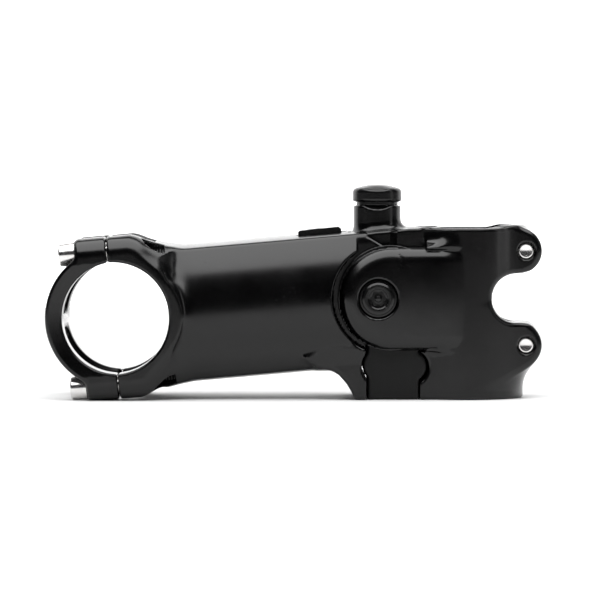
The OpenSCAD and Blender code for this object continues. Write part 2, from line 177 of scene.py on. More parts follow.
@dataclass(frozen=True)
class FieldMesher:
    """Turns a distance field into a mesh whose points and normals lie exactly on it."""

    low: tuple[float, float, float]
    high: tuple[float, float, float]
    pitch: float = 0.42
    settle_steps: int = 4

    def build(self, name: str, shape: Field) -> bpy.types.Object:
        """Meshes a field.

        Args:
            name: name of the new object.
            shape: the field, in millimetres.

        Returns:
            The object, in metres, with the field's own normals.
        """
        step = self.pitch * 1.0
        axes = [np.arange(a, b + step, step) for a, b in zip(self.low, self.high, strict=True)]
        x, y, z = np.meshgrid(*axes, indexing="ij", sparse=True)
        values = np.broadcast_to(shape(x, y, z), tuple(len(a) for a in axes))
        points, quads = self._nets(np.ascontiguousarray(values), step)
        points = self._settle(points, shape, step)
        normals = self._slope(points, shape, step * 0.12)[1]
        mesh = bpy.data.meshes.new(name)
        mesh.from_pydata((points * MM).tolist(), [], quads.tolist())
        mesh.update()
        obj = bpy.data.objects.new(name, mesh)
        bpy.context.scene.collection.objects.link(obj)
        mesh.shade_smooth()
        mesh.normals_split_custom_set_from_vertices(normals.tolist())
        return obj

    def _nets(self, values: Array, step: float) -> tuple[Array, Array]:
        """Naive surface nets: one point in each crossed cell and one quad round each crossed edge.

        Args:
            values: the field at the grid's points.
            step: pitch of the grid.

        Returns:
            The points and the quads.
        """
        inside = values < 0
        shape = np.array(values.shape) - 1
        count = np.zeros(shape, np.int8)
        place = [np.zeros(shape, np.float32) for _ in range(3)]
        for axis in range(3):
            a = np.moveaxis(values, axis, 0)
            crossed = np.moveaxis(inside, axis, 0)
            crossed = crossed[1:] != crossed[:-1]
            gap = a[:-1] - a[1:]
            t = np.where(crossed, a[:-1] / np.where(crossed, gap, 1), 0)
            crossed, t = np.moveaxis(crossed, 0, axis), np.moveaxis(t, 0, axis)
            others = [i for i in range(3) if i != axis]
            for da in (0, 1):
                for db in (0, 1):
                    view = [slice(None)] * 3
                    view[others[0]] = slice(da, da + shape[others[0]])
                    view[others[1]] = slice(db, db + shape[others[1]])
                    hit = crossed[tuple(view)]
                    count += hit
                    place[axis] += np.where(hit, t[tuple(view)], 0)
                    place[others[0]] += hit * np.float32(da)
                    place[others[1]] += hit * np.float32(db)
        live = np.argwhere(count > 0)
        index = np.full(shape, -1, np.int64)
        index[tuple(live.T)] = np.arange(len(live))
        n = count[tuple(live.T)].astype(float)
        offset = np.stack([p[tuple(live.T)] / n for p in place], axis=1)
        points = (live + offset) * step + np.array(self.low)
        quads = []
        for axis in range(3):
            o1, o2 = [i for i in range(3) if i != axis]
            a = np.moveaxis(inside, axis, 0)
            crossed = np.moveaxis(a[1:] != a[:-1], 0, axis)
            starts = np.moveaxis(a[:-1], 0, axis)
            core = [slice(None)] * 3
            core[o1] = slice(1, -1)
            core[o2] = slice(1, -1)
            cells = np.argwhere(crossed[tuple(core)])
            cells[:, o1] += 1
            cells[:, o2] += 1
            ring = []
            for d1, d2 in ((0, 0), (-1, 0), (-1, -1), (0, -1)):
                c = cells.copy()
                c[:, o1] += d1
                c[:, o2] += d2
                ring.append(index[tuple(c.T)])
            quad = np.stack(ring, axis=1)
            turn = starts[tuple(cells.T)] ^ (axis == 1)
            quad[~turn] = quad[~turn][:, ::-1]
            quads.append(quad)
        return points, np.concatenate(quads)

    def _slope(self, points: Array, shape: Field, h: float) -> tuple[Array, Array]:
        """The field's length of gradient and its unit direction at the points.

        Args:
            points: places to look at, one row each.
            shape: the field.
            h: reach of the difference on each side.

        Returns:
            The lengths and the directions.
        """
        parts = []
        for axis in range(3):
            ahead, back = points.copy(), points.copy()
            ahead[:, axis] += h
            back[:, axis] -= h
            parts.append((shape(*ahead.T) - shape(*back.T)) / (2 * h))
        slope = np.stack(parts, axis=1)
        length = np.maximum(np.linalg.norm(slope, axis=1, keepdims=True), 1e-6)
        return length[:, 0], slope / length

    def _settle(self, points: Array, shape: Field, step: float) -> Array:
        """Moves each point along the slope until it lies on the surface.

        Args:
            points: places to look at, one row each.
            shape: the field.
            step: pitch of the grid.

        Returns:
            The moved points.
        """
        for _ in range(self.settle_steps):
            length, way = self._slope(points, shape, step * 0.1)
            move = np.clip(shape(*points.T) / np.maximum(length, 0.5), -step * 0.6, step * 0.6)
            points = points - way * move[:, None]
        return points


# ---------------------------------------------------------------- layout


@dataclass(frozen=True)
class Layout:
    """The main places of the stem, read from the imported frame, in millimetres."""

    bar_x: float
    bar_z: float
    bar_r: float
    bar_half: float
    bore_r: float
    pivot_x: float
    pivot_z: float
    clamp_h: float
    tilt: float = math.radians(5)

    @classmethod
    def read(cls, frame: dict) -> "Layout":
        """Takes the places from the record's mounts and joints.


        Returns:
            The layout.
        """
        mounts = {m["name"]: m for m in frame["record"]["mounts"]}
        joints = {j["name"]: j for j in frame["joints"]}
        bar, steerer = mounts["handlebar_clamp"], mounts["steerer_clamp"]
        pivot = joints["arm_pivot"]["pos_m"]
        return cls(
            bar_x=bar["pos_m"][0] / MM,
            bar_z=bar["pos_m"][2] / MM,
            bar_r=bar["dims"]["r_mm"],
            bar_half=bar["dims"]["length_mm"] / 2,
            bore_r=steerer["dims"]["r_mm"],
            pivot_x=pivot[0] / MM,
            pivot_z=pivot[2] / MM,
            clamp_h=steerer["dims"]["length_mm"],
        )

    def along(self, x: Array, z: Array) -> tuple[Array, Array]:
        """The arm's own coordinates: u back along the arm from the bar axis, and w up.

        Args:
            x: places along the stem, in millimetres.
            z: heights.

        Returns:
            u and w.
        """
        c, s = math.cos(self.tilt), math.sin(self.tilt)
        dx, dz = x - self.bar_x, z - self.bar_z
        return dx * c + dz * s, dz * c - dx * s

    def place(self, u: float, y: float, w: float) -> Vector:
        """The row-frame point, in millimetres, of a place given in the arm's coordinates."""
        c, s = math.cos(self.tilt), math.sin(self.tilt)
        return Vector((self.bar_x + u * c - w * s, y, self.bar_z + u * s + w * c))

    def limits(self, ay: Array, z: Array) -> Array:
        """Distance to the space that the clamp may fill: over the floor and inside its width."""
        return np.maximum(ay - self.bar_half, 0.02 - z)

    @property
    def pivot_w(self) -> float:
        """Height of the pivot axis in the arm's coordinates."""
        return float(self.along(np.float64(self.pivot_x), np.float64(self.pivot_z))[1])


# ---------------------------------------------------------------- steerer side


@dataclass
class SteererClamp:
    """The rear forging: steerer clamp, two cheeks, bridge and the dial's boss."""

    at: Layout
    tube_r: float = 17.2
    ears_half: float = 10.5
    ear_x: float = 15.62
    ear_r: float = 6.6
    ear_z: tuple[float, float] = (15.3, 42.4)
    pinch_x: float = 17.6
    pinch_clear_r: float = 2.9
    pinch_tap_r: float = 2.55
    pinch_seat_r: float = 4.5
    pinch_seat_y: float = 6.2
    slit_half: float = 0.9
    cheek_x: float = -21.0
    cheek_r: float = 15.0
    cheek_in: float = 15.2
    cheek_out: float = 20.0
    crown_r: float = 125.0
    web_x: float = -11.3
    sweep_x: float = -5.0
    sweep_r: float = 9.9
    sweep_end_x: float = 4.6
    root_reach: float = 4.4
    axle_r: float = 5.02
    washer_seat_r: float = 5.65
    washer_seat_y: float = 17.0
    hub_room_r: float = 8.1
    boss_r: float = 6.85
    boss_top: float = 55.4
    boss_flat_y: float = 5.3
    boss_flat_lean: float = math.radians(40)
    dial_bore_r: float = 4.25
    bush_seat_r: float = 4.6
    bush_seat_z: float = 47.5
    low: tuple[float, float, float] = (-38.0, -21.5, -1.5)
    high: tuple[float, float, float] = (24.0, 21.5, 57.0)

    def field(self, x: Array, y: Array, z: Array) -> Array:
        """Distance to the whole forging.

        Args:
            x: places along the stem, in millimetres.
            y: places across the stem.
            z: heights.

        Returns:
            The signed distance.
        """
        ay = np.abs(y)
        body = self._tube(x, ay, z)
        body = smin(body, self._cheeks(x, ay, z), np.clip(-0.22 * x, 0.05, 1.6))
        body = smin(body, self._bridge(x, ay, z), 1.2)
        body = smin(body, self._seat(x, ay, z), 0.8)
        body = smin(body, self._boss(x, ay, z), 2.8)
        body = smax(body, span(z, 0.0, 99.0), 0.7)
        return self._bores(body, x, y, ay, z)

    def _tube(self, x: Array, ay: Array, z: Array) -> Array:
        """The clamp's tube with its two pairs of rear ears.

        Args:
            x: places along the stem, in millimetres.
            ay: distances from the middle plane.
            z: heights.

        Returns:
            The signed distance.
        """
        h = self.at.clamp_h
        tube = smax(np.hypot(x, ay) - self.tube_r, span(z, -9.0, h), 0.9)
        for centre, root in zip(self.ear_z, (6.5, 3.5), strict=True):
            ear = np.minimum(disc(x, z, self.ear_x, centre, self.ear_r),
                             rect(x, z, 0.0, self.ear_x, centre - self.ear_r, centre + self.ear_r))
            ear = smax(ear, ay - self.ears_half, 1.6)
            tube = smin(tube, ear, root)
        return tube

    def _cheeks(self, x: Array, ay: Array, z: Array) -> Array:
        """Both cheeks, with the web that closes the fork behind the arm.

        Args:
            x: places along the stem, in millimetres.
            ay: distances from the middle plane.
            z: heights.

        Returns:
            The signed distance.
        """
        zc = self.at.pivot_z - 0.1
        top, low = zc + self.cheek_r, zc - self.cheek_r
        side = np.minimum(disc(x, z, self.cheek_x, zc, self.cheek_r),
                          rect(x, z, self.cheek_x, self.sweep_end_x, low, top))
        rise = rect(x, z, self.sweep_x, self.sweep_end_x, low, self.at.clamp_h)
        side = np.minimum(side, cut(rise, disc(x, z, self.sweep_x, top + self.sweep_r, self.sweep_r),
                                    0.3))
        plan = self._plan(x, ay, z, zc)
        cheek = smax(smax(side, plan, 4.7), self.cheek_in - ay, 0.4)
        lip = smax(disc(x, z, -21.45, 29.1, 15.1), span(ay, self.cheek_in, 17.0), 0.3)
        web = smax(rect(x, z, self.web_x, 0.0, low, top), ay - 16.4, 0.5)
        root = smax(self._root(x, ay, z, top), span(x, self.web_x, 6.0), 0.3)
        return smin(np.minimum(np.minimum(cheek, lip), web), smax(root, plan, 1.2), 0.5)

    def _plan(self, x: Array, ay: Array, z: Array, zc: float) -> Array:
        """The cheek's crowned face and the plane that runs from it on to the tube.

        Args:
            x: places along the stem, in millimetres.
            ay: distances from the middle plane.
            z: heights.
            zc: height of the cheeks' middle.

        Returns:
            The signed distance.
        """
        corner = (-9.0, self.cheek_out)
        turn = math.atan2(corner[1], corner[0]) - math.acos(self.tube_r / math.hypot(*corner))
        face = disc(ay, z, self.cheek_out - self.crown_r, zc, self.crown_r)
        return smax(face, x * math.cos(turn) + ay * math.sin(turn) - self.tube_r, 6.0)

    def _root(self, x: Array, ay: Array, z: Array, top: float) -> Array:
        """Concave ring fillet from the cheeks' top up the tube.

        Args:
            x: places along the stem, in millimetres.
            ay: distances from the middle plane.
            z: heights.
            top: height of the cheeks' top.

        Returns:
            The signed distance.
        """
        r, reach = np.hypot(x, ay), self.root_reach
        block = rect(r, z, self.tube_r - 4, self.tube_r + reach, top - 1, top + reach)
        return np.maximum(block, -disc(r, z, self.tube_r + reach, top + reach, reach))

    def _bridge(self, x: Array, ay: Array, z: Array) -> Array:
        """The bridge over the arm's hub.

        Args:
            x: places along the stem, in millimetres.
            ay: distances from the middle plane.
            z: heights.

        Returns:
            The signed distance.
        """
        side = outline(x, z, [(-32.2, 47.05), (-31.4, 47.2), (-16.0, 48.85), (-8.0, 49.0),
                              (-8.0, 38.6), (-30.4, 38.6), (-32.2, 40.4)])
        plan = outline(x, ay, [(-33.0, -9.0), (-33.0, 9.3), (-21.4, 9.3), (-19.4, 13.0),
                               (-4.0, 13.0), (-4.0, -9.0)])
        return smax(side, plan, 0.8)

    def _seat(self, x: Array, ay: Array, z: Array) -> Array:
        """The block that the elastomer bears on."""
        side = cut(rect(x, z, -13.1, -2.0, -9.0, 13.7), disc(x, z, -15.4, 9.2, 4.9), 0.5)
        return smax(side, ay - self.cheek_in + 0.2, 0.8)

    def _boss(self, x: Array, ay: Array, z: Array) -> Array:
        """The dial's boss with the flats on its shoulder.

        Args:
            x: places along the stem, in millimetres.
            ay: distances from the middle plane.
            z: heights.

        Returns:
            The signed distance.
        """
        r = np.hypot(x - self.at.pivot_x, ay)
        boss = smax(r - self.boss_r, span(z, 44.0, self.boss_top), 0.5)
        lean = self.boss_flat_lean
        flat = (ay - self.boss_flat_y) * math.sin(lean) + (z - self.boss_top) * math.cos(lean)
        return smax(boss, flat, 0.2)

    def _bores(self, body: Array, x: Array, y: Array, ay: Array, z: Array) -> Array:
        """Everything that is machined out of the forging.

        Args:
            body: field of the forging so far.
            x: places along the stem, in millimetres.
            y: places across the stem.
            ay: distances from the middle plane.
            z: heights.

        Returns:
            The signed distance.
        """
        px, pz = self.at.pivot_x, self.at.pivot_z
        mid = sum(self.ear_z) / 2
        gap = (self.ear_z[1] - self.ear_z[0]) / 2 - self.ear_r
        window = np.minimum(disc(x, z, 14.6, mid, gap), rect(x, z, 14.6, 40.0, mid - gap, mid + gap))
        body = cut(body, window, 1.3)
        body = cut(body, np.hypot(x, ay) - self.at.bore_r, 0.7)
        body = cut(body, np.maximum(ay - self.slit_half, -x), 0.5)
        for centre in self.ear_z:
            for r, side in ((self.pinch_clear_r, -y), (self.pinch_tap_r, y),
                            (self.pinch_seat_r, self.pinch_seat_y - y)):
                body = cut(body, np.maximum(disc(x, z, self.pinch_x, centre, r), side), 0.4)
        body = cut(body, disc(x, z, px, pz, self.axle_r), 0.3)
        seat = disc(x, z, px, pz, self.washer_seat_r)
        body = cut(body, np.maximum(seat, self.washer_seat_y - ay), 0.5)
        body = cut(body, np.maximum(disc(x, z, px, pz, self.hub_room_r), ay - self.cheek_in), 0.4)
        r = np.hypot(x - px, ay)
        body = cut(body, smax(r - self.dial_bore_r, span(z, 30.0, 50.0), 0.2), 0.3)
        return cut(body, np.maximum(r - self.bush_seat_r, self.bush_seat_z - z), 0.4)

    def build(self) -> bpy.types.Object:
        """Meshes the forging and sets it in for its CAD node."""
        piece = FieldMesher(self.low, self.high).build("steerer_clamp_forging", self.field)
        return place_piece(piece, "steerer_side", "black_paint", ["clamp_body"])


def place_piece(piece: bpy.types.Object, body: str, slot: str,
                stands_for: Sequence[str] = ()) -> bpy.types.Object:
    """Rides a piece on a body, names its finish and hides the CAD nodes that it stands for.

    Args:
        piece: the piece.
        body: name of the body that carries it.
        slot: name of its finish.
        stands_for: CAD nodes that it is shown in place of.

    Returns:
        The same piece.
    """
    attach(piece, body)
    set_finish(piece, slot)
    if stands_for:
        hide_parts(*stands_for)
    LOG.info("%s: %d faces on %s", piece.name, len(piece.data.polygons), body)
    return piece


# ---------------------------------------------------------------- arm side


@dataclass(frozen=True)
class ClampForm:
    """What the two halves of the handlebar clamp share, drawn closed with no bar between them."""

    at: Layout
    parting: float = -1.1
    gap_half: float = 0.13
    corner_r: float = 6.0
    half_h: float = 23.65
    arm_shift: float = -0.9
    plate_shift: float = 0.4
    bolt_w: float = 19.1
    bolt_y: float = 16.0
    seat_u: float = -10.2

    def section(self, ay: Array, w: Array) -> Array:
        """Distance to the clamp's section across the arm, with its large round corners."""
        r = self.corner_r
        return rect(ay, w, -20.0, self.at.bar_half - r, r - self.half_h, self.half_h - r) - r

    def bore(self, u: Array, w: Array, shift: float) -> Array:
        """Distance to one half's bore, whose axis stands off by shift while no bar is held."""
        return np.hypot(u - shift, w) - self.at.bar_r


@dataclass
class Arm:
    """The forged arm: half handlebar clamp, barrel, horns, hub and heel."""

    at: Layout
    form: ClampForm
    half_w: float = 20.0
    half_h: float = 18.9
    seam_y: float = 14.0
    crown: float = 1.2
    ring_r: float = 18.0
    window_half: float = 10.5
    inner_half: float = 14.8
    slot_half: float = 9.7
    hub_r: float = 7.4
    heel_x: float = -28.2
    heel_half: float = 17.3
    back_way: tuple[float, float, float] = (0.5226, 0.401, 0.7526)
    back_at: float = 28.0
    thread_r: float = 2.55
    thread_end: float = 15.2
    relief: float = 1.4
    hollow_half: float = 12.0
    hollow_high: float = 13.5
    hollow_r: float = 16.4
    hollow_ends: tuple[float, float] = (8.0, 50.0)
    bush_r: float = 6.2
    flange_r: float = 7.25
    seal_groove: tuple[float, float] = (8.3, 9.5)
    seal_y: float = 13.8
    low: tuple[float, float, float] = (-106.0, -23.5, -1.5)
    high: tuple[float, float, float] = (-16.0, 23.5, 50.0)

    def solid(self, x: Array, y: Array, z: Array) -> Array:
        """Distance to the arm before its threads are cut.

        Args:
            x: places along the stem, in millimetres.
            y: places across the stem.
            z: heights.

        Returns:
            The signed distance.
        """
        ay = np.abs(y)
        u, w = self.at.along(x, z)
        body = smin(self._barrel(u, ay, w), self._clamp(u, ay, w), 5.5)
        body = smax(smin(body, self._heel(x, ay, z), 2.5), self.at.limits(ay, z), 0.25)
        body = cut(body, self._behind(x, z), 0.7)
        pocket = self._pocket(x, z)
        body = cut(body, np.maximum(pocket, self.inner_half - ay), 0.9)
        hub = smax(disc(x, z, self.at.pivot_x, self.at.pivot_z, self.hub_r),
                   ay - self.inner_half, 0.4)
        body = smin(body, hub, 0.8)
        bore = self.form.bore(u, w, self.form.arm_shift)
        body = cut(body, bore, 0.7)
        relief = smax(bore - self.relief, ay - self.window_half, 1.0)
        body = cut(body, relief, 0.6)
        for notch in (rect(u, w, -5.0, 12.0, 17.6, 40.0), rect(u, w, -5.0, 8.0, -40.0, -17.8)):
            body = cut(body, smax(notch, ay - self.window_half, 1.5), 1.5)
        v = w - self.at.pivot_w
        hollow = smax(rect(ay, v, -self.hollow_half, self.hollow_half, -self.hollow_high,
                           self.hollow_high), np.hypot(ay, v) - self.hollow_r, 2.0)
        body = cut(body, smax(hollow, span(u, *self.hollow_ends), 3.0), 1.0)
        return self._hub_cuts(body, x, ay, z)

    def field(self, x: Array, y: Array, z: Array) -> Array:
        """Distance to the finished arm.

        Args:
            x: places along the stem, in millimetres.
            y: places across the stem.
            z: heights.

        Returns:
            The signed distance.
        """
        body = self.solid(x, y, z)
        u, w = self.at.along(x, z)
        ay = np.abs(y)
        for side in (-1, 1):
            hole = np.hypot(w - side * self.form.bolt_w, ay - self.form.bolt_y) - self.thread_r
            body = cut(body, smax(hole, span(u, -5.0, self.thread_end), 0.8), 0.45)
        return body

    def _barrel(self, u: Array, ay: Array, w: Array) -> Array:
        """The bulging barrel under its shallow crown.

        Args:
            u: places back along the arm from the bar axis.
            ay: distances from the middle plane.
            w: heights over the arm's own axis.

        Returns:
            The signed distance.
        """
        v = w - self.at.pivot_w
        bulge = self.half_w - self.seam_y
        flank_r = (self.half_h ** 2 + bulge ** 2) / (2 * bulge)
        top_r = (self.seam_y ** 2 + self.crown ** 2) / (2 * self.crown)
        flank = np.hypot(ay + flank_r - self.half_w, v) - flank_r
        top = np.hypot(ay, v - (self.half_h + self.crown - top_r)) - top_r
        low = np.hypot(ay, v - (top_r - self.half_h - 0.6 * self.crown)) - top_r
        section = smax(smax(flank, top, 0.8), low, 1.6)
        return smax(section, span(u, 14.0, 81.0), 0.5)

    def _clamp(self, u: Array, ay: Array, w: Array) -> Array:
        """The arm's half of the handlebar clamp, its ears running back along the bolts.

        Args:
            u: places back along the arm from the bar axis.
            ay: distances from the middle plane.
            w: heights over the arm's own axis.

        Returns:
            The signed distance.
        """
        ring = np.hypot(u + 0.2, w) - self.ring_r
        h = self.form.half_h
        upper = outline(u, w, [(-10.0, h), (5.8, h), (8.9, h - 1.6), (16.4, 17.4), (15.2, 12.4),
                               (0.0, 0.0), (-10.0, 0.0)])
        lower = outline(u, w, [(-10.0, 0.0), (0.0, 0.0), (15.2, -12.4), (16.2, -18.0), (13.2, -19.6),
                               (7.6, -22.4), (5.0, -h), (-10.0, -h)])
        along, up, out = self.back_way
        backs = along * u + up * np.abs(w) + out * ay - self.back_at
        ears = smax(np.minimum(upper, lower), backs, 3.0)
        side = smin(ring, ears, 2.6)
        face = smax(side, self.form.section(ay, w), 1.4)
        return smax(face, self.form.parting + self.form.gap_half - u, 0.9)

    def _heel(self, x: Array, ay: Array, z: Array) -> Array:
        """The heel under the pivot that bears on the elastomer.

        Args:
            x: places along the stem, in millimetres.
            ay: distances from the middle plane.
            z: heights.

        Returns:
            The signed distance.
        """
        side = outline(x, z, [(-46, 12), (-42, 8.9), (-38.5, 8.4), (-36.2, 7.0), (-34, 4.5),
                              (-32.6, 2.2), (-31.7, 0), (-26, 0), (-26, 14.5), (-40, 14.5)])
        return smax(side, ay - self.heel_half, 1.4)

    def _behind(self, x: Array, z: Array) -> Array:
        """Side outline of what is cut away behind the horns and the heel.

        Args:
            x: places along the stem, in millimetres.
            z: heights.

        Returns:
            The signed distance.
        """
        side = outline(x, z, [(-28, 60), (-28, 46.7), (-23, 43.7), (-22, 38.5), (-20, 33.5),
                              (-25, 28.9), (-25, 23), (-27.9, 18), (-27.9, 14), (self.heel_x, 6),
                              (self.heel_x, -5), (0, -5), (0, 60)])
        return np.minimum(side, Elastomer.outline_field(x, z, 0.25))

    def _pocket(self, x: Array, z: Array) -> Array:
        """Side outline of the pocket round a cheek."""
        side = np.minimum(disc(x, z, -22.4, 29.0, 15.65), rect(x, z, -30.8, 0.0, 29.0, 60.0))
        return np.minimum(side, rect(x, z, self.heel_x, 0.0, 13.4, 33.0))

    def _hub_cuts(self, body: Array, x: Array, ay: Array, z: Array) -> Array:
        """Top slot, hub bore, seats and the waist of the hub.

        Args:
            body: field of the forging so far.
            x: places along the stem, in millimetres.
            ay: distances from the middle plane.
            z: heights.

        Returns:
            The signed distance.
        """
        px, pz = self.at.pivot_x, self.at.pivot_z
        top = pz + self.hub_r + 0.3
        body = cut(body, smax(rect(x, z, -33.55, 0.0, top, 70.0), ay - self.slot_half, 0.5), 0.5)
        u, w = self.at.along(x, z)
        seat = np.maximum(rect(u, w, 53.4, 67.4, 18.2, 40.0), ay - 7.2)
        body = cut(body, seat, 0.2)
        hub = disc(x, z, px, pz, 0.0)
        body = cut(body, hub - self.bush_r, 0.3)
        body = cut(body, np.maximum(hub - self.flange_r, self.seal_y - ay), 0.2)
        body = cut(body, np.maximum(span(hub, *self.seal_groove), self.seal_y - ay), 0.2)
        behind = np.maximum(rect(x, z, px - 3.0, 0.0, 10.0, 48.0), ay - self.slot_half)
        body = cut(body, np.maximum(behind, self.hub_r - hub), 0.4)
        return cut(body, np.maximum(span(hub, 7.0, 12.0), ay - 4.5), 0.3)

    def build(self) -> bpy.types.Object:
        """Meshes the arm and sets it in for its CAD node."""
        piece = FieldMesher(self.low, self.high, 0.44).build("arm_forging", self.field)
        return place_piece(piece, "arm", "black_paint", ["stem_arm"])


@dataclass
class Faceplate:
    """The H-shaped front half of the handlebar clamp."""

    at: Layout
    form: ClampForm
    ring_wall: float = 4.49
    window_half: float = 10.5
    rib_half: float = 2.2
    waist: float = 1.2
    hole_r: float = 2.6
    head_room_r: float = 3.9
    low: tuple[float, float, float] = (-122.0, -23.5, -1.5)
    high: tuple[float, float, float] = (-95.0, 23.5, 48.5)

    def field(self, x: Array, y: Array, z: Array) -> Array:
        """Distance to the faceplate.

        Args:
            x: places along the stem, in millimetres.
            y: places across the stem.
            z: heights.

        Returns:
            The signed distance.
        """
        ay = np.abs(y)
        u, w = self.at.along(x, z)
        aw = np.abs(w)
        ring = np.hypot(u, w) - self.at.bar_r - self.ring_wall
        h, seat = self.form.half_h, self.form.seat_u
        ear = outline(u, aw, [(9.0, h), (seat + 0.8, h), (seat, h - 0.8), (seat, 17.0),
                              (0.0, 0.0), (9.0, 0.0)])
        side = smin(ring, ear, 1.5)
        waist_r = (16.0 ** 2 + self.waist ** 2) / (2 * self.waist)
        section = np.maximum(self.form.section(ay, w),
                             -disc(ay, w, self.at.bar_half - self.waist + waist_r, 0.0, waist_r))
        body = smax(smax(side, section, 1.3), u - self.form.parting + self.form.gap_half, 0.9)
        body = cut(body, self.form.bore(u, w, self.form.plate_shift), 0.7)
        window = smax(ay - self.window_half, self.rib_half - aw, 3.0)
        body = cut(body, window, 1.6)
        hole = np.hypot(aw - self.form.bolt_w, ay - self.form.bolt_y)
        body = cut(body, np.maximum(hole - self.head_room_r, u - seat), 0.4)
        return smax(cut(body, hole - self.hole_r, 0.4), self.at.limits(ay, z), 0.25)

    def build(self) -> bpy.types.Object:
        """Meshes the faceplate and sets it in for its CAD node."""
        piece = FieldMesher(self.low, self.high, 0.4).build("faceplate_forging", self.field)
        return place_piece(piece, "arm", "black_paint", ["faceplate"])


# ---------------------------------------------------------------- elastomer


@dataclass
class Elastomer:
    """The moulded rubber spring between the arm's heel and the clamp."""

    at: Layout
    half_w: float = 14.8
    top: float = 17.6
    tube_r: float = 17.25

    @staticmethod
    def outline_field(x: Array, z: Array, grow: float = 0.0) -> Array:
        """Side outline of the block with its two bulges.

        Args:
            x: places along the stem, in millimetres.
            z: heights.
            grow: how far the outline stands off.

        Returns:
            The signed distance.
        """
        side = rect(x, z, -28.0 - grow, -13.3 + grow, -9.0, 17.6 + grow)
        side = smin(side, disc(x, z, -24.5, 9.7, 4.9 + grow), 0.6)
        return smin(side, disc(x, z, -15.6, 9.5, 4.5 + grow), 0.6)

    def field(self, x: Array, y: Array, z: Array) -> Array:
        """Distance to the block.

        Args:
            x: places along the stem, in millimetres.
            y: places across the stem.
            z: heights.

        Returns:
            The signed distance.
        """
        body = smax(self.outline_field(x, z), span(z, 0.0, self.top), 0.8)
        body = smax(body, np.abs(y) - self.half_w, 0.9)
        return cut(body, np.hypot(x, y) - self.tube_r, 0.5)

    def build(self) -> bpy.types.Object:
        """Meshes the block in its resting shape, names its finish and shows it in place of its CAD node.

        Returns:
            The piece.
        """
        mesher = FieldMesher((-31.0, -16.0, -1.5), (-10.0, 16.0, 19.0), 0.4)
        piece = mesher.build("elastomer_spring", self.field)
        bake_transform(piece)
        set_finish(piece, "elastomer")
        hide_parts("elastomer_block")
        return piece


# ---------------------------------------------------------------- turned pieces


class Round(Enum):
    """What a turned piece looks like when seen along its axis."""

    CIRCLE = "circle"
    HEX = "hex"
    LOBES = "lobes"

    def radius(self, r: float, turn: Array) -> Array:
        """Radius at each angle of a ring, where r is the inner or flat-to-axis radius.

        Args:
            r: radius, or distance from the axis to the flats.
            turn: angles round the axis.

        Returns:
            The radius at each angle.
        """
        if self is Round.HEX:
            sixth = math.tau / 6
            return r / np.cos(np.mod(turn, sixth) - sixth / 2)
        if self is Round.LOBES:
            return r * (1 + 0.11 * np.cos(6 * turn))
        return np.full_like(turn, r)


@dataclass(frozen=True)
class Ring:
    """One ring of a turned piece: its radius, its place along the axis and its form."""

    r: float
    at: float
    form: Round = Round.CIRCLE


def rounded(points: Sequence[tuple[float, float, float]], steps: int = 4) -> list[Ring]:
    """Rings along an outline whose corners are rounded.

    Args:
        points: radius, place along the axis and corner radius of each corner.
        steps: pieces in each corner's arc.

    Returns:
        The rings in the outline's order.
    """
    rings: list[Ring] = []
    for i, (r, at, corner) in enumerate(points):
        here = np.array([r, at])
        if corner <= 0 or i in (0, len(points) - 1):
            rings.append(Ring(r, at))
            continue
        back = np.array(points[i - 1][:2]) - here
        ahead = np.array(points[i + 1][:2]) - here
        back, ahead = back / np.linalg.norm(back), ahead / np.linalg.norm(ahead)
        half = math.acos(float(np.clip(back @ ahead, -1, 1))) / 2
        reach = corner / math.tan(half)
        start, end = here + back * reach, here + ahead * reach
        middle = here + (back + ahead) / np.linalg.norm(back + ahead) * corner / math.sin(half)
        for k in range(steps + 1):
            way = (start - middle) * (1 - k / steps) + (end - middle) * (k / steps)
            spot = middle + way / np.linalg.norm(way) * corner
            rings.append(Ring(float(spot[0]), float(spot[1])))
    return rings


@dataclass(frozen=True)
class Turned:
    """A piece turned on a lathe, with its axis along its own Z."""

    segments: int = 96
    sharp: float = math.radians(32)

    def build(self, name: str, rings: Sequence[Ring], matrix: Matrix,
              thread: "Thread | None" = None) -> bpy.types.Object:
        """Makes the piece from its rings.

        Args:
            name: name of the new object.
            rings: rings from one end to the other, in millimetres.
            matrix: place of the piece in the row frame, in millimetres.
            thread: thread cut into the rings that lie on its length.

        Returns:
            The object, in metres.
        """
        turn = np.arange(self.segments) / self.segments * math.tau
        rows = []
        for ring in rings:
            r = ring.form.radius(ring.r, turn)
            if thread is not None:
                r = thread.cut(r, ring.at, turn)
            rows.append(np.stack([r * np.cos(turn), r * np.sin(turn), np.full_like(turn, ring.at)], 1))
        points = [tuple(p * MM) for row in rows for p in row]
        n = self.segments
        faces = [(i * n + k, i * n + (k + 1) % n, (i + 1) * n + (k + 1) % n, (i + 1) * n + k)
                 for i in range(len(rings) - 1) for k in range(n)]
        for first, ring in ((0, rings[0]), ((len(rings) - 1) * n, rings[-1])):
            centre = len(points)
            points.append((0.0, 0.0, ring.at * MM))
            for k in range(n):
                pair = (first + (k + 1) % n, first + k) if first == 0 else (first + k, first + (k + 1) % n)
                faces.append((*pair, centre))
        mesh = bpy.data.meshes.new(name)
        mesh.from_pydata(points, [], faces)
        mesh.shade_smooth()
        mesh.set_sharp_from_angle(angle=self.sharp)
        obj = bpy.data.objects.new(name, mesh)
        bpy.context.scene.collection.objects.link(obj)
        place = matrix.copy()
        place.translation = place.translation * MM
        obj.matrix_world = place
        return obj


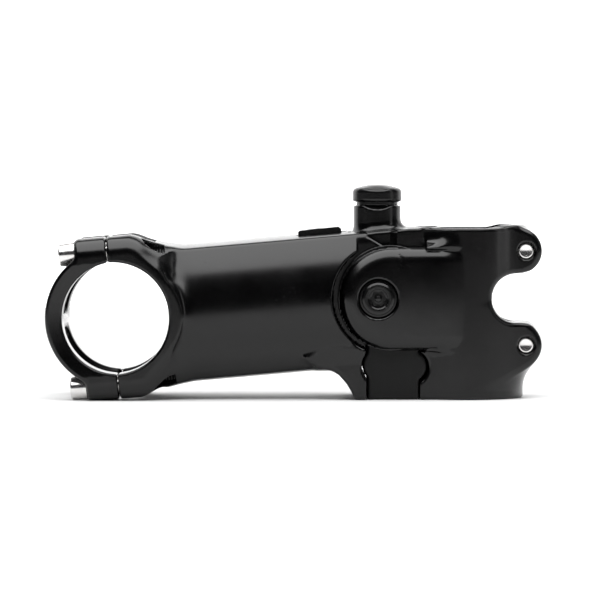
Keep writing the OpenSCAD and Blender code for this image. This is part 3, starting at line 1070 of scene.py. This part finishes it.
@dataclass(frozen=True)
class Thread:
    """An outer thread along part of a turned piece."""

    start: float
    end: float
    minor_r: float = 2.06
    pitch: float = 0.8

    def rings(self, major_r: float) -> list[Ring]:
        """Rings close enough together to carry the thread.

        Args:
            major_r: outer radius of the thread.

        Returns:
            The rings.
        """
        count = int((self.end - self.start) / self.pitch * 8)
        return [Ring(major_r, self.start + (self.end - self.start) * i / count)
                for i in range(count + 1)]

    def cut(self, r: Array, at: float, turn: Array) -> Array:
        """Radius after the thread is cut, at one place along the axis.

        Args:
            r: radius before the cut at each angle.
            at: place along the axis.
            turn: angles round the axis.

        Returns:
            The radius at each angle after the cut.
        """
        if not self.start <= at <= self.end:
            return r
        phase = np.mod(at / self.pitch - turn / math.tau, 1.0)
        flank = np.clip(np.abs(phase - 0.5) * 2.6 - 0.15, 0, 1)
        fade = min(1.0, (at - self.start) / 0.4, (self.end - at) / 0.4)
        return r - (r - self.minor_r) * (1 - flank) * fade


def axis_matrix(origin: Sequence[float], way: Sequence[float]) -> Matrix:
    """Matrix, in millimetres, whose Z runs along way from origin."""
    turn = Vector(way).to_track_quat("Z", "Y").to_matrix().to_4x4()
    return Matrix.Translation(Vector(origin)) @ turn


@dataclass
class FaceplateBolts:
    """The four bolts with tall conical heads that clamp the handlebar."""

    at: Layout
    form: ClampForm
    head_h: float = 4.78
    head_r: tuple[float, float] = (3.15, 3.55)
    shank_r: float = 2.5
    tip_u: float = 7.4
    key_r: float = 2.0

    def build(self) -> list[bpy.types.Object]:
        """Turns the four bolts and sets them in for their CAD node.

        Returns:
            The pieces.
        """
        pieces = []
        head, top = -self.form.seat_u, self.head_h
        thread = Thread(-head - self.tip_u + 0.7, -head + 1.0)
        rings = [Ring(1.0, -head - self.tip_u), Ring(1.8, -head - self.tip_u)]
        rings += thread.rings(self.shank_r)
        rings += [Ring(self.shank_r, 0.0)]
        rings += rounded([(self.shank_r, 0.0, 0), (self.head_r[1], 0.0, 0.25), (self.head_r[0], top, 0.55),
                          (self.key_r + 0.45, top, 0.15), (self.key_r + 0.2, top - 0.3, 0)])[1:]
        rings += [Ring(self.key_r, top - 0.35, Round.HEX), Ring(self.key_r, top - 2.6, Round.HEX),
                  Ring(0.4, top - 3.2)]
        for high, upper in ((1, "upper"), (-1, "lower")):
            for side in Side:
                y, w = side.value * self.form.bolt_y, high * self.form.bolt_w
                spot = self.at.place(self.form.seat_u, y, w)
                ahead = self.at.place(self.form.seat_u - 1, y, w)
                matrix = axis_matrix(spot, ahead - spot)
                name = f"faceplate_bolt_{upper}_{side.name.lower()}"
                piece = Turned(72).build(name, rings, matrix, thread)
                pieces.append(place_piece(piece, "arm", "bolt_steel", ["faceplate_bolts"]))
        return pieces


@dataclass
class PinchBolts:
    """The two bolts through the steerer clamp's rear ears."""

    at: Layout
    x: float = 17.6
    heights: tuple[float, float] = (15.3, 42.4)
    seat_y: float = 6.2
    head_h: float = 5.0
    head_r: float = 4.25
    shank_r: float = 2.5
    length: float = 15.8
    key_r: float = 2.0

    def build(self) -> list[bpy.types.Object]:
        """Turns both bolts, heads on the right side and threaded ends on the left.

        Returns:
            The pieces.
        """
        tip, top = -self.length, self.head_h
        thread = Thread(tip + 0.5, -6.0)
        rings = [Ring(0.5, tip + 0.3), Ring(1.25, tip + 0.12)]
        rings += rounded([(1.25, tip + 0.12, 0), (1.7, tip, 0.3), (2.1, tip + 0.02, 0.2),
                          (2.4, tip + 0.45, 0)])
        rings += thread.rings(self.shank_r)
        rings += [Ring(self.shank_r, 0.0)]
        rings += rounded([(self.shank_r, 0, 0), (self.head_r, 0, 0.2), (self.head_r, top, 0.5),
                          (self.key_r + 0.5, top, 0.15), (self.key_r + 0.2, top - 0.3, 0)])[1:]
        rings += [Ring(self.key_r, top - 0.35, Round.HEX), Ring(self.key_r, top - 2.6, Round.HEX),
                  Ring(0.4, top - 3.2)]
        pieces = []
        for name, height in zip(("lower", "upper"), self.heights, strict=True):
            matrix = axis_matrix((self.x, self.seat_y, height), (0, 1, 0))
            piece = Turned(72).build(f"pinch_bolt_{name}", rings, matrix, thread)
            pieces.append(place_piece(piece, "steerer_side", "bolt_steel", ["pinch_bolts"]))
        return pieces


@dataclass
class PivotHardware:
    """The low bolts and washers at both ends of the pivot axle."""

    at: Layout
    seat_y: float = 17.0
    washer_h: float = 0.8
    washer_r: tuple[float, float] = (3.1, 5.5)
    head_r: float = 4.7
    head_h: float = 1.8
    shank_r: float = 3.0
    key_r: float = 2.2

    def build(self) -> list[bpy.types.Object]:
        """Turns the bolts and washers of both sides.

        Returns:
            The pieces.
        """
        pieces = []
        for side in Side:
            origin = (self.at.pivot_x, side.value * self.seat_y, self.at.pivot_z)
            matrix = axis_matrix(origin, (0, side.value, 0))
            name = side.name.lower()
            washer = Turned().build(f"pivot_washer_{name}", self._washer(), matrix)
            pieces.append(place_piece(washer, "steerer_side", "black_steel", ["pivot_washers"]))
            bolt = Turned().build(f"pivot_bolt_{name}_turned", self._bolt(), matrix)
            pieces.append(place_piece(bolt, "steerer_side", "black_steel", [f"pivot_bolt_{name}"]))
        return pieces

    def _washer(self) -> list[Ring]:
        """A flat ring with rounded outer edges, closed down its bore.

        Returns:
            The washer's rings.
        """
        inner, outer = self.washer_r
        h = self.washer_h
        return rounded([(0.2, 0.02, 0), (inner, 0.02, 0), (outer, 0.02, 0.15), (outer, h, 0.3),
                        (inner, h, 0.1), (inner, 0.3, 0), (0.2, 0.3, 0)])

    def _bolt(self) -> list[Ring]:
        """The bolt's head with its lobed recess and the drilled end below it.

        Returns:
            The bolt's rings.
        """
        low, top = self.washer_h, self.washer_h + self.head_h
        floor = top - 1.5
        rings = rounded([(self.shank_r - 0.5, low - 3.0, 0), (self.shank_r, low - 2.6, 0.1),
                         (self.shank_r, low, 0), (self.head_r, low, 0.15), (self.head_r, top - 0.35, 0.35),
                         (self.head_r - 0.75, top, 0.4), (3.0, top, 0.2), (2.65, top - 0.35, 0)])
        rings += [Ring(self.key_r, top - 0.4, Round.LOBES), Ring(self.key_r, floor, Round.LOBES)]
        rings += rounded([(1.6, floor, 0), (1.0, floor, 0.1), (0.85, floor + 0.35, 0.2),
                          (0.1, floor + 0.6, 0)])
        return rings


@dataclass
class DialCap:
    """The smooth dial cap with its two flats."""

    at: Layout
    r: float = 7.1
    skirt_r: float = 6.0
    low_z: float = 55.46
    wall_z: float = 56.4
    top_z: float = 61.5
    dome_r: float = 18.0
    flat_y: float = 4.0
    flat_z: float = 61.04
    flat_lean: float = math.radians(25)
    screw_r: float = 2.5

    def field(self, x: Array, y: Array, z: Array) -> Array:
        """Distance to the cap.

        Args:
            x: places along the stem, in millimetres.
            y: places across the stem.
            z: heights.

        Returns:
            The signed distance.
        """
        ay = np.abs(y)
        r = np.hypot(x - self.at.pivot_x, ay)
        dome = np.hypot(r, z - self.top_z + self.dome_r) - self.dome_r
        body = smax(smax(r - self.r, self.wall_z - z, 0.9), dome, 0.9)
        lean = self.flat_lean
        flat = (ay - self.flat_y) * math.sin(lean) + (z - self.flat_z) * math.cos(lean)
        body = smax(body, flat, 0.25)
        body = np.minimum(body, smax(r - self.skirt_r, span(z, self.low_z, self.wall_z + 1), 0.2))
        body = cut(body, smax(r - self.screw_r, 60.4 - z, 0.1), 0.3)
        return cut(body, np.maximum(r - self.screw_r, z - 59.0), 0.2)

    def build(self) -> bpy.types.Object:
        """Meshes the cap and sets it in for its CAD node.

        Returns:
            The piece.
        """
        px, reach = self.at.pivot_x, self.r + 1.0
        mesher = FieldMesher((px - reach, -reach, self.low_z - 1), (px + reach, reach, self.top_z + 1), 0.2)
        piece = mesher.build("dial_cap_turned", self.field)
        return place_piece(piece, "dial", "dial_black", ["dial_cap"])


@dataclass
class ThreadRuns:
    """The ribs of the clamp threads where they run out through the arm's sloped backs."""

    arm: Arm
    pitch: float = 0.8
    root_r: float = 2.62
    crest_r: float = 2.12
    start: float = 0.8
    end: float = 15.2
    steps: int = 28

    def build(self) -> list[bpy.types.Object]:
        """Sweeps a small ridge along each thread wherever the arm has material behind it.

        Returns:
            The pieces.
        """
        pieces = []
        for high, upper in ((1, "upper"), (-1, "lower")):
            for side in Side:
                name = f"clamp_thread_{upper}_{side.name.lower()}"
                obj = self._ridge(name, high, side)
                pieces.append(place_piece(obj, "arm", "black_paint"))
        return pieces

    def _ridge(self, name: str, high: int, side: Side) -> bpy.types.Object:
        """One thread's ridge as closed three-sided tubes.

        Args:
            name: name of the new piece.
            high: 1 for the upper thread and -1 for the lower.
            side: side of the stem.

        Returns:
            The ridge.
        """
        at = self.arm.at
        count = int((self.end - self.start) / self.pitch * self.steps)
        spots = []
        for i in range(count + 1):
            u = self.start + i * self.pitch / self.steps
            turn = i / self.steps * math.tau
            corners = []
            for r, du in ((self.root_r, -0.36), (self.crest_r, 0.0), (self.root_r, 0.36)):
                y = side.value * self.arm.form.bolt_y + r * math.cos(turn)
                w = high * self.arm.form.bolt_w + r * math.sin(turn)
                corners.append(at.place(u + du, y, w))
            spots.append(corners)
        roots = np.array([[tuple(c[0]), tuple(c[2])] for c in spots])
        behind = [self.arm.solid(*roots[:, k].T) < -0.05 for k in (0, 1)]
        keep = behind[0] & behind[1]
        points: list[Vector] = []
        faces: list[tuple[int, ...]] = []
        last = -1
        for i, good in enumerate(keep):
            if not good:
                if last >= 0:
                    faces.append((last, last + 1, last + 2))
                last = -1
                continue
            first = len(points)
            points += [c * MM for c in spots[i]]
            if last >= 0:
                faces += [(last + a, last + b, first + b, first + a) for a, b in ((0, 1), (1, 2), (2, 0))]
            else:
                faces.append((first + 2, first + 1, first))
            last = first
        if last >= 0:
            faces.append((last, last + 1, last + 2))
        mesh = bpy.data.meshes.new(name)
        mesh.from_pydata(points, [], faces)
        mesh.update()
        obj = bpy.data.objects.new(name, mesh)
        bpy.context.scene.collection.objects.link(obj)
        return obj


# ---------------------------------------------------------------- effects shared by the finishes


class Graph:
    """A short way to add and join the nodes of a material or a group."""

    def __init__(self, tree: bpy.types.NodeTree) -> None:
        """Keeps the tree."""
        self.tree = tree

    def add(self, kind: str, settings: dict | None = None, **values: object) -> bpy.types.Node:
        """Adds a node.

        Args:
            kind: the node's type name without the words ShaderNode.
            settings: properties of the node.
            values: inputs by name, with _ for a space; a socket is linked and the rest is set.

        Returns:
            The node.
        """
        node = self.tree.nodes.new("ShaderNode" + kind)
        for key, value in (settings or {}).items():
            setattr(node, key, value)
        for key, value in values.items():
            place = node.inputs[int(key[1:])] if key[0] == "i" and key[1:].isdigit() \
                else node.inputs[key.replace("_", " ")]
            if isinstance(value, bpy.types.NodeSocket):
                self.tree.links.new(value, place)
            else:
                place.default_value = value
        return node

    def math(self, operation: str, *values: object) -> bpy.types.NodeSocket:
        """Adds a Math node and returns its result."""
        named = {f"i{i}": v for i, v in enumerate(values)}
        return self.add("Math", {"operation": operation}, **named).outputs[0]

    def mix(self, factor: bpy.types.NodeSocket, *colours: object) -> bpy.types.NodeSocket:
        """Mixes two colours by a factor.

        Args:
            factor: 0 for the first colour and 1 for the second.
            colours: the two colours, each a socket or red, green, blue and 1.

        Returns:
            The mixed colour.
        """
        node = self.add("Mix", {"data_type": "RGBA"})
        places = [socket for socket in node.inputs if socket.enabled]
        for place, value in zip(places, (factor, *colours), strict=True):
            if isinstance(value, bpy.types.NodeSocket):
                self.tree.links.new(value, place)
            else:
                place.default_value = value
        return next(socket for socket in node.outputs if socket.enabled)

    def spread(self, value: bpy.types.NodeSocket, low: float, high: float,
               to_low: float = 0.0, to_high: float = 1.0) -> bpy.types.NodeSocket:
        """Maps low..high to to_low..to_high, held at the ends.

        Args:
            value: the number to map.
            low: value that gives to_low.
            high: value that gives to_high.
            to_low: lowest result.
            to_high: highest result.

        Returns:
            The mapped number.
        """
        node = self.add("MapRange", {"clamp": True}, Value=value, From_Min=low, From_Max=high,
                        To_Min=to_low, To_Max=to_high)
        return node.outputs[0]


class Effect(Enum):
    """The surface effects that several finishes share."""

    GRAIN = "coating_grain"
    WEAR = "edge_wear"
    TURNING = "turning_marks"
    SCUFFS = "fine_scuffs"


@dataclass
class Effects:
    """Builds each shared effect once, as a node group, and places it in the finishes."""

    made: dict[Effect, bpy.types.NodeTree] = field(default_factory=dict)

    def place(self, graph: Graph, effect: Effect, **values: object) -> bpy.types.Node:
        """Puts an effect into a finish.

        Args:
            graph: the finish's graph.
            effect: which effect.
            values: the effect's inputs.

        Returns:
            The group node.
        """
        if effect not in self.made:
            self.made[effect] = getattr(self, f"_{effect.value}")(effect.value)
        node = graph.tree.nodes.new("ShaderNodeGroup")
        node.node_tree = self.made[effect]
        for key, value in values.items():
            node.inputs[key.replace("_", " ")].default_value = value
        return node

    def _group(self, name: str, inputs: dict[str, float], outputs: Sequence[str]) -> tuple:
        """A new group with number inputs and outputs, its graph and its two ends.

        Args:
            name: name of the group.
            inputs: name and preset of each number that it takes.
            outputs: names of the numbers that it gives.

        Returns:
            The group, its graph, its inputs and its outputs.
        """
        tree = bpy.data.node_groups.new(name, "ShaderNodeTree")
        for label, value in inputs.items():
            socket = tree.interface.new_socket(label, in_out="INPUT", socket_type="NodeSocketFloat")
            socket.default_value = value
        for label in outputs:
            tree.interface.new_socket(label, in_out="OUTPUT", socket_type="NodeSocketFloat")
        start = tree.nodes.new("NodeGroupInput")
        end = tree.nodes.new("NodeGroupOutput")
        return tree, Graph(tree), start.outputs, end.inputs

    def _coating_grain(self, name: str) -> bpy.types.NodeTree:
        """Fine orange peel of a coat with slow cloudy changes under it.

        Args:
            name: name of the group.

        Returns:
            The group.
        """
        tree, g, given, out = self._group(name, {"Grain Size": 0.25}, ["Height", "Cloud"])
        spot = g.add("TexCoord").outputs["Object"]
        rate = g.math("DIVIDE", 1000.0, given["Grain Size"])
        fine = g.add("TexNoise", Vector=spot, Scale=rate, Detail=3.0, Roughness=0.6)
        wide = g.add("TexNoise", Vector=spot, Scale=g.math("MULTIPLY", rate, 0.3), Detail=2.0)
        height = g.math("ADD", g.math("MULTIPLY", fine.outputs["Fac"], 0.7),
                        g.math("MULTIPLY", wide.outputs["Fac"], 0.5))
        cloud = g.add("TexNoise", Vector=spot, Scale=90.0, Detail=4.0, Roughness=0.65)
        tree.links.new(height, out["Height"])
        tree.links.new(g.spread(cloud.outputs["Fac"], 0.3, 0.7), out["Cloud"])
        return tree

    def _edge_wear(self, name: str) -> bpy.types.NodeTree:
        """Mask of the outer edges, broken up so that it reads as rubbed.

        Args:
            name: name of the group.

        Returns:
            The group.
        """
        tree, g, given, out = self._group(name, {"Start": 0.53, "Reach": 0.06}, ["Mask"])
        edge = g.add("NewGeometry").outputs["Pointiness"]
        spot = g.add("TexCoord").outputs["Object"]
        patchy = g.add("TexNoise", Vector=spot, Scale=420.0, Detail=4.0, Roughness=0.7)
        above = g.math("DIVIDE", g.math("SUBTRACT", edge, given["Start"]), given["Reach"])
        rubbed = g.math("MULTIPLY", above, g.spread(patchy.outputs["Fac"], 0.4, 0.68))
        tree.links.new(g.add("Clamp", Value=rubbed).outputs[0], out["Mask"])
        return tree

    def _turning_marks(self, name: str) -> bpy.types.NodeTree:
        """Rings left by a lathe round the piece's own Z axis.

        Args:
            name: name of the group.

        Returns:
            The group.
        """
        tree, g, given, out = self._group(name, {"Pitch": 0.12}, ["Height", "Rings"])
        spot = g.add("SeparateXYZ", Vector=g.add("TexCoord").outputs["Object"])
        x, y, z = spot.outputs
        r = g.math("SQRT", g.math("ADD", g.math("MULTIPLY", x, x), g.math("MULTIPLY", y, y)))
        rate = g.math("DIVIDE", 1000.0, given["Pitch"])
        lines = g.add("CombineXYZ", X=g.math("MULTIPLY", r, rate), Y=g.math("MULTIPLY", z, rate))
        marks = g.add("TexNoise", Vector=lines.outputs[0], Scale=1.0, Detail=2.0)
        tree.links.new(marks.outputs["Fac"], out["Height"])
        tree.links.new(g.spread(marks.outputs["Fac"], 0.35, 0.65), out["Rings"])
        return tree

    def _fine_scuffs(self, name: str) -> bpy.types.NodeTree:
        """Sparse hair-thin handling marks.

        Args:
            name: name of the group.

        Returns:
            The group.
        """
        tree, g, given, out = self._group(name, {"Amount": 0.3}, ["Mask"])
        spot = g.add("TexCoord").outputs["Object"]
        bent = g.add("TexNoise", Vector=spot, Scale=60.0, Detail=1.0)
        shift = g.add("VectorMath", {"operation": "SCALE"}, i0=bent.outputs["Color"], Scale=0.02)
        warped = g.add("VectorMath", {"operation": "ADD"}, i0=spot, i1=shift.outputs[0])
        stretch = g.add("Mapping", Vector=warped.outputs[0], Rotation=(0.4, 0.3, 0.5),
                        Scale=(120.0, 2600.0, 2600.0))
        lines = g.add("TexNoise", Vector=stretch.outputs[0], Scale=1.0, Detail=1.0)
        where = g.add("TexNoise", Vector=spot, Scale=150.0, Detail=2.0)
        thin = g.math("MULTIPLY", g.spread(lines.outputs["Fac"], 0.68, 0.74),
                      g.spread(where.outputs["Fac"], 0.5, 0.62))
        tree.links.new(g.math("MULTIPLY", thin, given["Amount"]), out["Mask"])
        return tree


# ---------------------------------------------------------------- finishes

Colour = tuple[float, float, float]


@dataclass(frozen=True)
class Finish:
    """A finish whose colour, gloss and relief come from the shared effects."""

    name: str
    colour: Colour
    metallic: float = 0.0
    roughness: float = 0.3
    roughness_swing: float = 0.06
    ior: float = 1.43
    grain_mm: float = 0.25
    relief: float = 0.15
    wear_colour: Colour | None = None
    wear_start: float = 0.53
    wear: float = 0.5
    turned_mm: float | None = None
    scuffs: float = 0.3
    scuff_roughness: float = 0.25
    shades: tuple[float, float] = (0.8, 1.25)
    relief_depth: float = 0.00002

    def make(self, effects: Effects) -> bpy.types.Material:
        """Builds the finish as a node material.

        Args:
            effects: the shared effects.

        Returns:
            The material.
        """
        material = bpy.data.materials.new(self.name)
        material.use_nodes = True
        tree = material.node_tree
        shader = tree.nodes["Principled BSDF"]
        graph = Graph(tree)
        shader.inputs["IOR"].default_value = self.ior
        shader.inputs["Metallic"].default_value = self.metallic
        grain = effects.place(graph, Effect.GRAIN, Grain_Size=self.grain_mm)
        scuffs = effects.place(graph, Effect.SCUFFS, Amount=self.scuffs)
        wear = effects.place(graph, Effect.WEAR, Start=self.wear_start)
        height, rings = grain.outputs["Height"], grain.outputs["Cloud"]
        if self.turned_mm is not None:
            marks = effects.place(graph, Effect.TURNING, Pitch=self.turned_mm)
            height, rings = marks.outputs["Height"], marks.outputs["Rings"]
        self._colour(graph, shader, grain.outputs["Cloud"], wear.outputs["Mask"])
        swing = graph.spread(rings, 0.0, 1.0, self.roughness - self.roughness_swing,
                             self.roughness + self.roughness_swing)
        rough = graph.math("ADD", swing,
                           graph.math("MULTIPLY", scuffs.outputs["Mask"], self.scuff_roughness))
        tree.links.new(rough, shader.inputs["Roughness"])
        bump = graph.add("Bump", Strength=self.relief, Distance=self.relief_depth,
                         Height=height)
        tree.links.new(bump.outputs["Normal"], shader.inputs["Normal"])
        return material

    def _colour(self, graph: Graph, shader: bpy.types.Node, cloud: bpy.types.NodeSocket,
                worn: bpy.types.NodeSocket) -> None:
        """Links the base colour: two close shades, and the worn colour on the edges.

        Args:
            graph: the finish's graph.
            shader: its shader.
            cloud: slow changes over the surface.
            worn: mask of the rubbed edges.
        """
        dark, light = (tuple(c * shade for c in self.colour) + (1.0,) for shade in self.shades)
        colour = graph.mix(cloud, dark, light)
        if self.wear_colour is not None:
            rubbed = graph.math("MULTIPLY", worn, self.wear)
            colour = graph.mix(rubbed, colour, self.wear_colour + (1.0,))
        graph.tree.links.new(colour, shader.inputs["Base Color"])


FINISHES: dict[str, Finish] = {
    "black_paint": Finish("gloss_black_coating", (0.0006, 0.0006, 0.0007), roughness=0.2,
                          roughness_swing=0.035, grain_mm=0.16, relief=0.12,
                          wear_colour=(0.03, 0.03, 0.032), wear_start=0.6, wear=0.2),
    "dial_black": Finish("turned_black_anodising", (0.001, 0.001, 0.0012), roughness=0.24,
                         turned_mm=0.1, relief=0.25, wear_colour=(0.06, 0.06, 0.06), wear=0.2),
    "bolt_steel": Finish("plated_bolt_steel", (0.74, 0.73, 0.72), metallic=1.0, roughness=0.2,
                         turned_mm=0.09, relief=0.35),
    "black_steel": Finish("black_oxide_steel", (0.001, 0.001, 0.0011), roughness=0.22, ior=1.42,
                          turned_mm=0.14, relief=0.3, wear_colour=(0.08, 0.08, 0.08), wear=0.3),
    "plain_steel": Finish("ground_steel", (0.5, 0.5, 0.5), metallic=1.0, roughness=0.3, grain_mm=0.3),
    "bronze": Finish("sintered_bronze", (0.5, 0.32, 0.15), metallic=1.0, roughness=0.42,
                     grain_mm=0.2, relief=0.4),
    "elastomer": Finish("moulded_elastomer", (0.0035, 0.0036, 0.0036), roughness=0.42, ior=1.33,
                        roughness_swing=0.08, grain_mm=0.35, relief=0.35, scuffs=0.6),
    "seal_rubber": Finish("seal_rubber", (0.01, 0.01, 0.01), roughness=0.45, grain_mm=0.3),
    "bearing_plastic": Finish("bearing_plastic", (0.7, 0.7, 0.66), roughness=0.4, grain_mm=0.3),
    "lining": Finish("brake_lining", (0.18, 0.11, 0.065), roughness=0.7, grain_mm=0.5, relief=0.6),
}


@dataclass
class Dresser:
    """Gives every piece and every CAD node that still shows its finish."""

    effects: Effects = field(default_factory=Effects)
    made: dict[str, bpy.types.Material] = field(default_factory=dict)

    def finish(self, slot: str) -> bpy.types.Material:
        """The material of a slot, made when first asked for.

        Args:
            slot: name of the finish.

        Returns:
            The material.
        """
        if slot not in self.made:
            self.made[slot] = FINISHES[slot].make(self.effects)
        return self.made[slot]

    def dress(self, obj: bpy.types.Object, slot: str) -> None:
        """Puts a slot's finish on an object."""
        obj.data.materials.clear()
        obj.data.materials.append(self.finish(slot))

    def dress_frame(self, loaded: dict) -> None:
        """Dresses the CAD nodes by their slots, with a fine bevel on their edges.
        """
        slots = {p["node"]: p["material_slot"] for p in loaded["record"]["subparts"]}
        for name, obj in loaded["nodes"].items():
            if obj.hide_render:
                continue
            self.dress(obj, slots[name])
            bevel = obj.modifiers.new("edge", "BEVEL")
            bevel.width, bevel.segments = 0.00012, 2
            bevel.limit_method, bevel.angle_limit = "ANGLE", math.radians(40)
            LOG.info("%s keeps its CAD shape, finished as %s", name, slots[name])


# ---------------------------------------------------------------- studio


@dataclass(frozen=True)
class Panel:
    """A soft light panel: its middle, its size and its strength."""

    name: str
    middle: tuple[float, float, float]
    size: tuple[float, float]
    target: tuple[float, float, float]
    radiance: float


@dataclass(frozen=True)
class Studio:
    """Pale floor, pale backdrop, soft panels and the camera."""

    aim: tuple[float, float, float] = (-0.0473, -0.022, 0.0287)
    eye: tuple[float, float, float] = (-0.0473, -1.190, 0.067)
    lens: float = 246.8
    floor_front: float = -0.62
    wall_y: float = 0.75
    panels: tuple[Panel, ...] = (
        Panel("overhead_softbox", (-0.05, -0.45, 1.0), (1.7, 1.48), (-0.05, -0.45, 0.0), 4.6),
        Panel("right_strip", (1.0, -0.35, 0.35), (0.12, 0.9), (0.0, 0.0, 0.03), 2.0),
    )

    def build(self) -> None:
        """Sets the stage, the lights, the world and the camera."""
        self._floor()
        self._backdrop()
        for panel in self.panels:
            self._light(panel)
        self._room()
        camera = bpy.data.objects.new("camera", bpy.data.cameras.new("camera"))
        bpy.context.scene.collection.objects.link(camera)
        camera.location = self.eye
        way = Vector(self.aim) - Vector(self.eye)
        camera.rotation_euler = way.to_track_quat("-Z", "Y").to_euler()
        camera.data.lens, camera.data.sensor_width = self.lens, 36
        camera.data.clip_start, camera.data.clip_end = 0.05, 20
        bpy.context.scene.camera = camera
        bpy.context.scene.view_settings.view_transform = "Standard"
        LOG.info("studio ready with %d panels", len(self.panels))

    def _room(self) -> None:
        """A dim room round the stage, which is pale where it is seen straight past the stage."""
        world = bpy.data.worlds.new("dim_room")
        world.use_nodes = True
        tree = world.node_tree
        graph = Graph(tree)
        dim = tree.nodes["Background"]
        dim.inputs["Color"].default_value = (0.02, 0.02, 0.022, 1)
        pale = graph.add("Background", Color=(1, 1, 1, 1))
        seen = graph.add("LightPath").outputs["Is Camera Ray"]
        both = graph.add("MixShader", i0=seen, i1=dim.outputs[0], i2=pale.outputs[0])
        tree.links.new(both.outputs[0], tree.nodes["World Output"].inputs["Surface"])
        bpy.context.scene.world = world

    def _one_sided(self, paint: bpy.types.Material) -> None:
        """Makes a stage piece clear from its back, so that it hides nothing from there.

        Args:
            paint: the stage piece's material.
        """
        tree = paint.node_tree
        graph = Graph(tree)
        back = graph.add("NewGeometry").outputs["Backfacing"]
        clear = graph.add("BsdfTransparent").outputs[0]
        both = graph.add("MixShader", i0=back, i1=tree.nodes["Principled BSDF"].outputs[0], i2=clear)
        tree.links.new(both.outputs[0], tree.nodes["Material Output"].inputs["Surface"])

    def _plane(self, name: str, corners: Sequence[Sequence[float]]) -> bpy.types.Object:
        """A flat stage piece from its four corners.

        Args:
            name: name of the stage piece.
            corners: its corners, in metres.

        Returns:
            The piece.
        """
        mesh = bpy.data.meshes.new(name)
        mesh.from_pydata([tuple(c) for c in corners], [], [(0, 1, 2, 3)])
        obj = bpy.data.objects.new(name, mesh)
        bpy.context.scene.collection.objects.link(obj)
        return obj

    def _floor(self) -> None:
        """The pale floor under the stem."""
        near, far, low = self.floor_front, self.wall_y, -0.0001
        floor = self._plane("floor", [(-2, near, low), (2, near, low), (2, far, low), (-2, far, low)])
        paint = bpy.data.materials.new("pale_floor")
        paint.use_nodes = True
        shader = paint.node_tree.nodes["Principled BSDF"]
        shader.inputs["Base Color"].default_value = (0.66, 0.66, 0.66, 1)
        shader.inputs["Roughness"].default_value = 0.6
        shader.inputs["Specular IOR Level"].default_value = 0.2
        self._one_sided(paint)
        floor.data.materials.append(paint)

    def _backdrop(self) -> None:
        """The lit backdrop behind the stem."""
        y = self.wall_y
        wall = self._plane("backdrop", [(-2, y, -0.01), (2, y, -0.01), (2, y, 1.1), (-2, y, 1.1)])
        paint = bpy.data.materials.new("lit_backdrop")
        paint.use_nodes = True
        shader = paint.node_tree.nodes["Principled BSDF"]
        shader.inputs["Base Color"].default_value = (0.8, 0.8, 0.8, 1)
        shader.inputs["Emission Color"].default_value = (1, 1, 1, 1)
        shader.inputs["Emission Strength"].default_value = 1.0
        self._one_sided(paint)
        wall.data.materials.append(paint)

    def _light(self, panel: Panel) -> None:
        """One rectangular area light that faces its target.

        Args:
            panel: the panel to build.
        """
        data = bpy.data.lights.new(panel.name, "AREA")
        data.shape = "RECTANGLE"
        data.size, data.size_y = panel.size
        data.energy = panel.radiance * math.pi * panel.size[0] * panel.size[1]
        lamp = bpy.data.objects.new(panel.name, data)
        bpy.context.scene.collection.objects.link(lamp)
        lamp.location = panel.middle
        way = Vector(panel.target) - Vector(panel.middle)
        lamp.rotation_euler = way.to_track_quat("-Z", "Y").to_euler()


# ---------------------------------------------------------------- the whole stem


def main() -> None:
    """Builds every sub-assembly, dresses it and sets up the studio."""
    logging.basicConfig(level=logging.INFO, format="%(name)s: %(message)s")
    at = Layout.read(frame)
    dresser = Dresser()
    form = ClampForm(at)
    arm = Arm(at, form)
    pieces = [SteererClamp(at).build(), arm.build(), Faceplate(at, form).build(), Elastomer(at).build(),
              DialCap(at).build()]
    for group in (FaceplateBolts(at, form), PinchBolts(at), PivotHardware(at), ThreadRuns(arm)):
        pieces += group.build()
    for piece in pieces:
        dresser.dress(piece, piece["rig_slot"])
    dresser.dress_frame(frame)
    Studio().build()


if __name__ == "__main__":
    main()
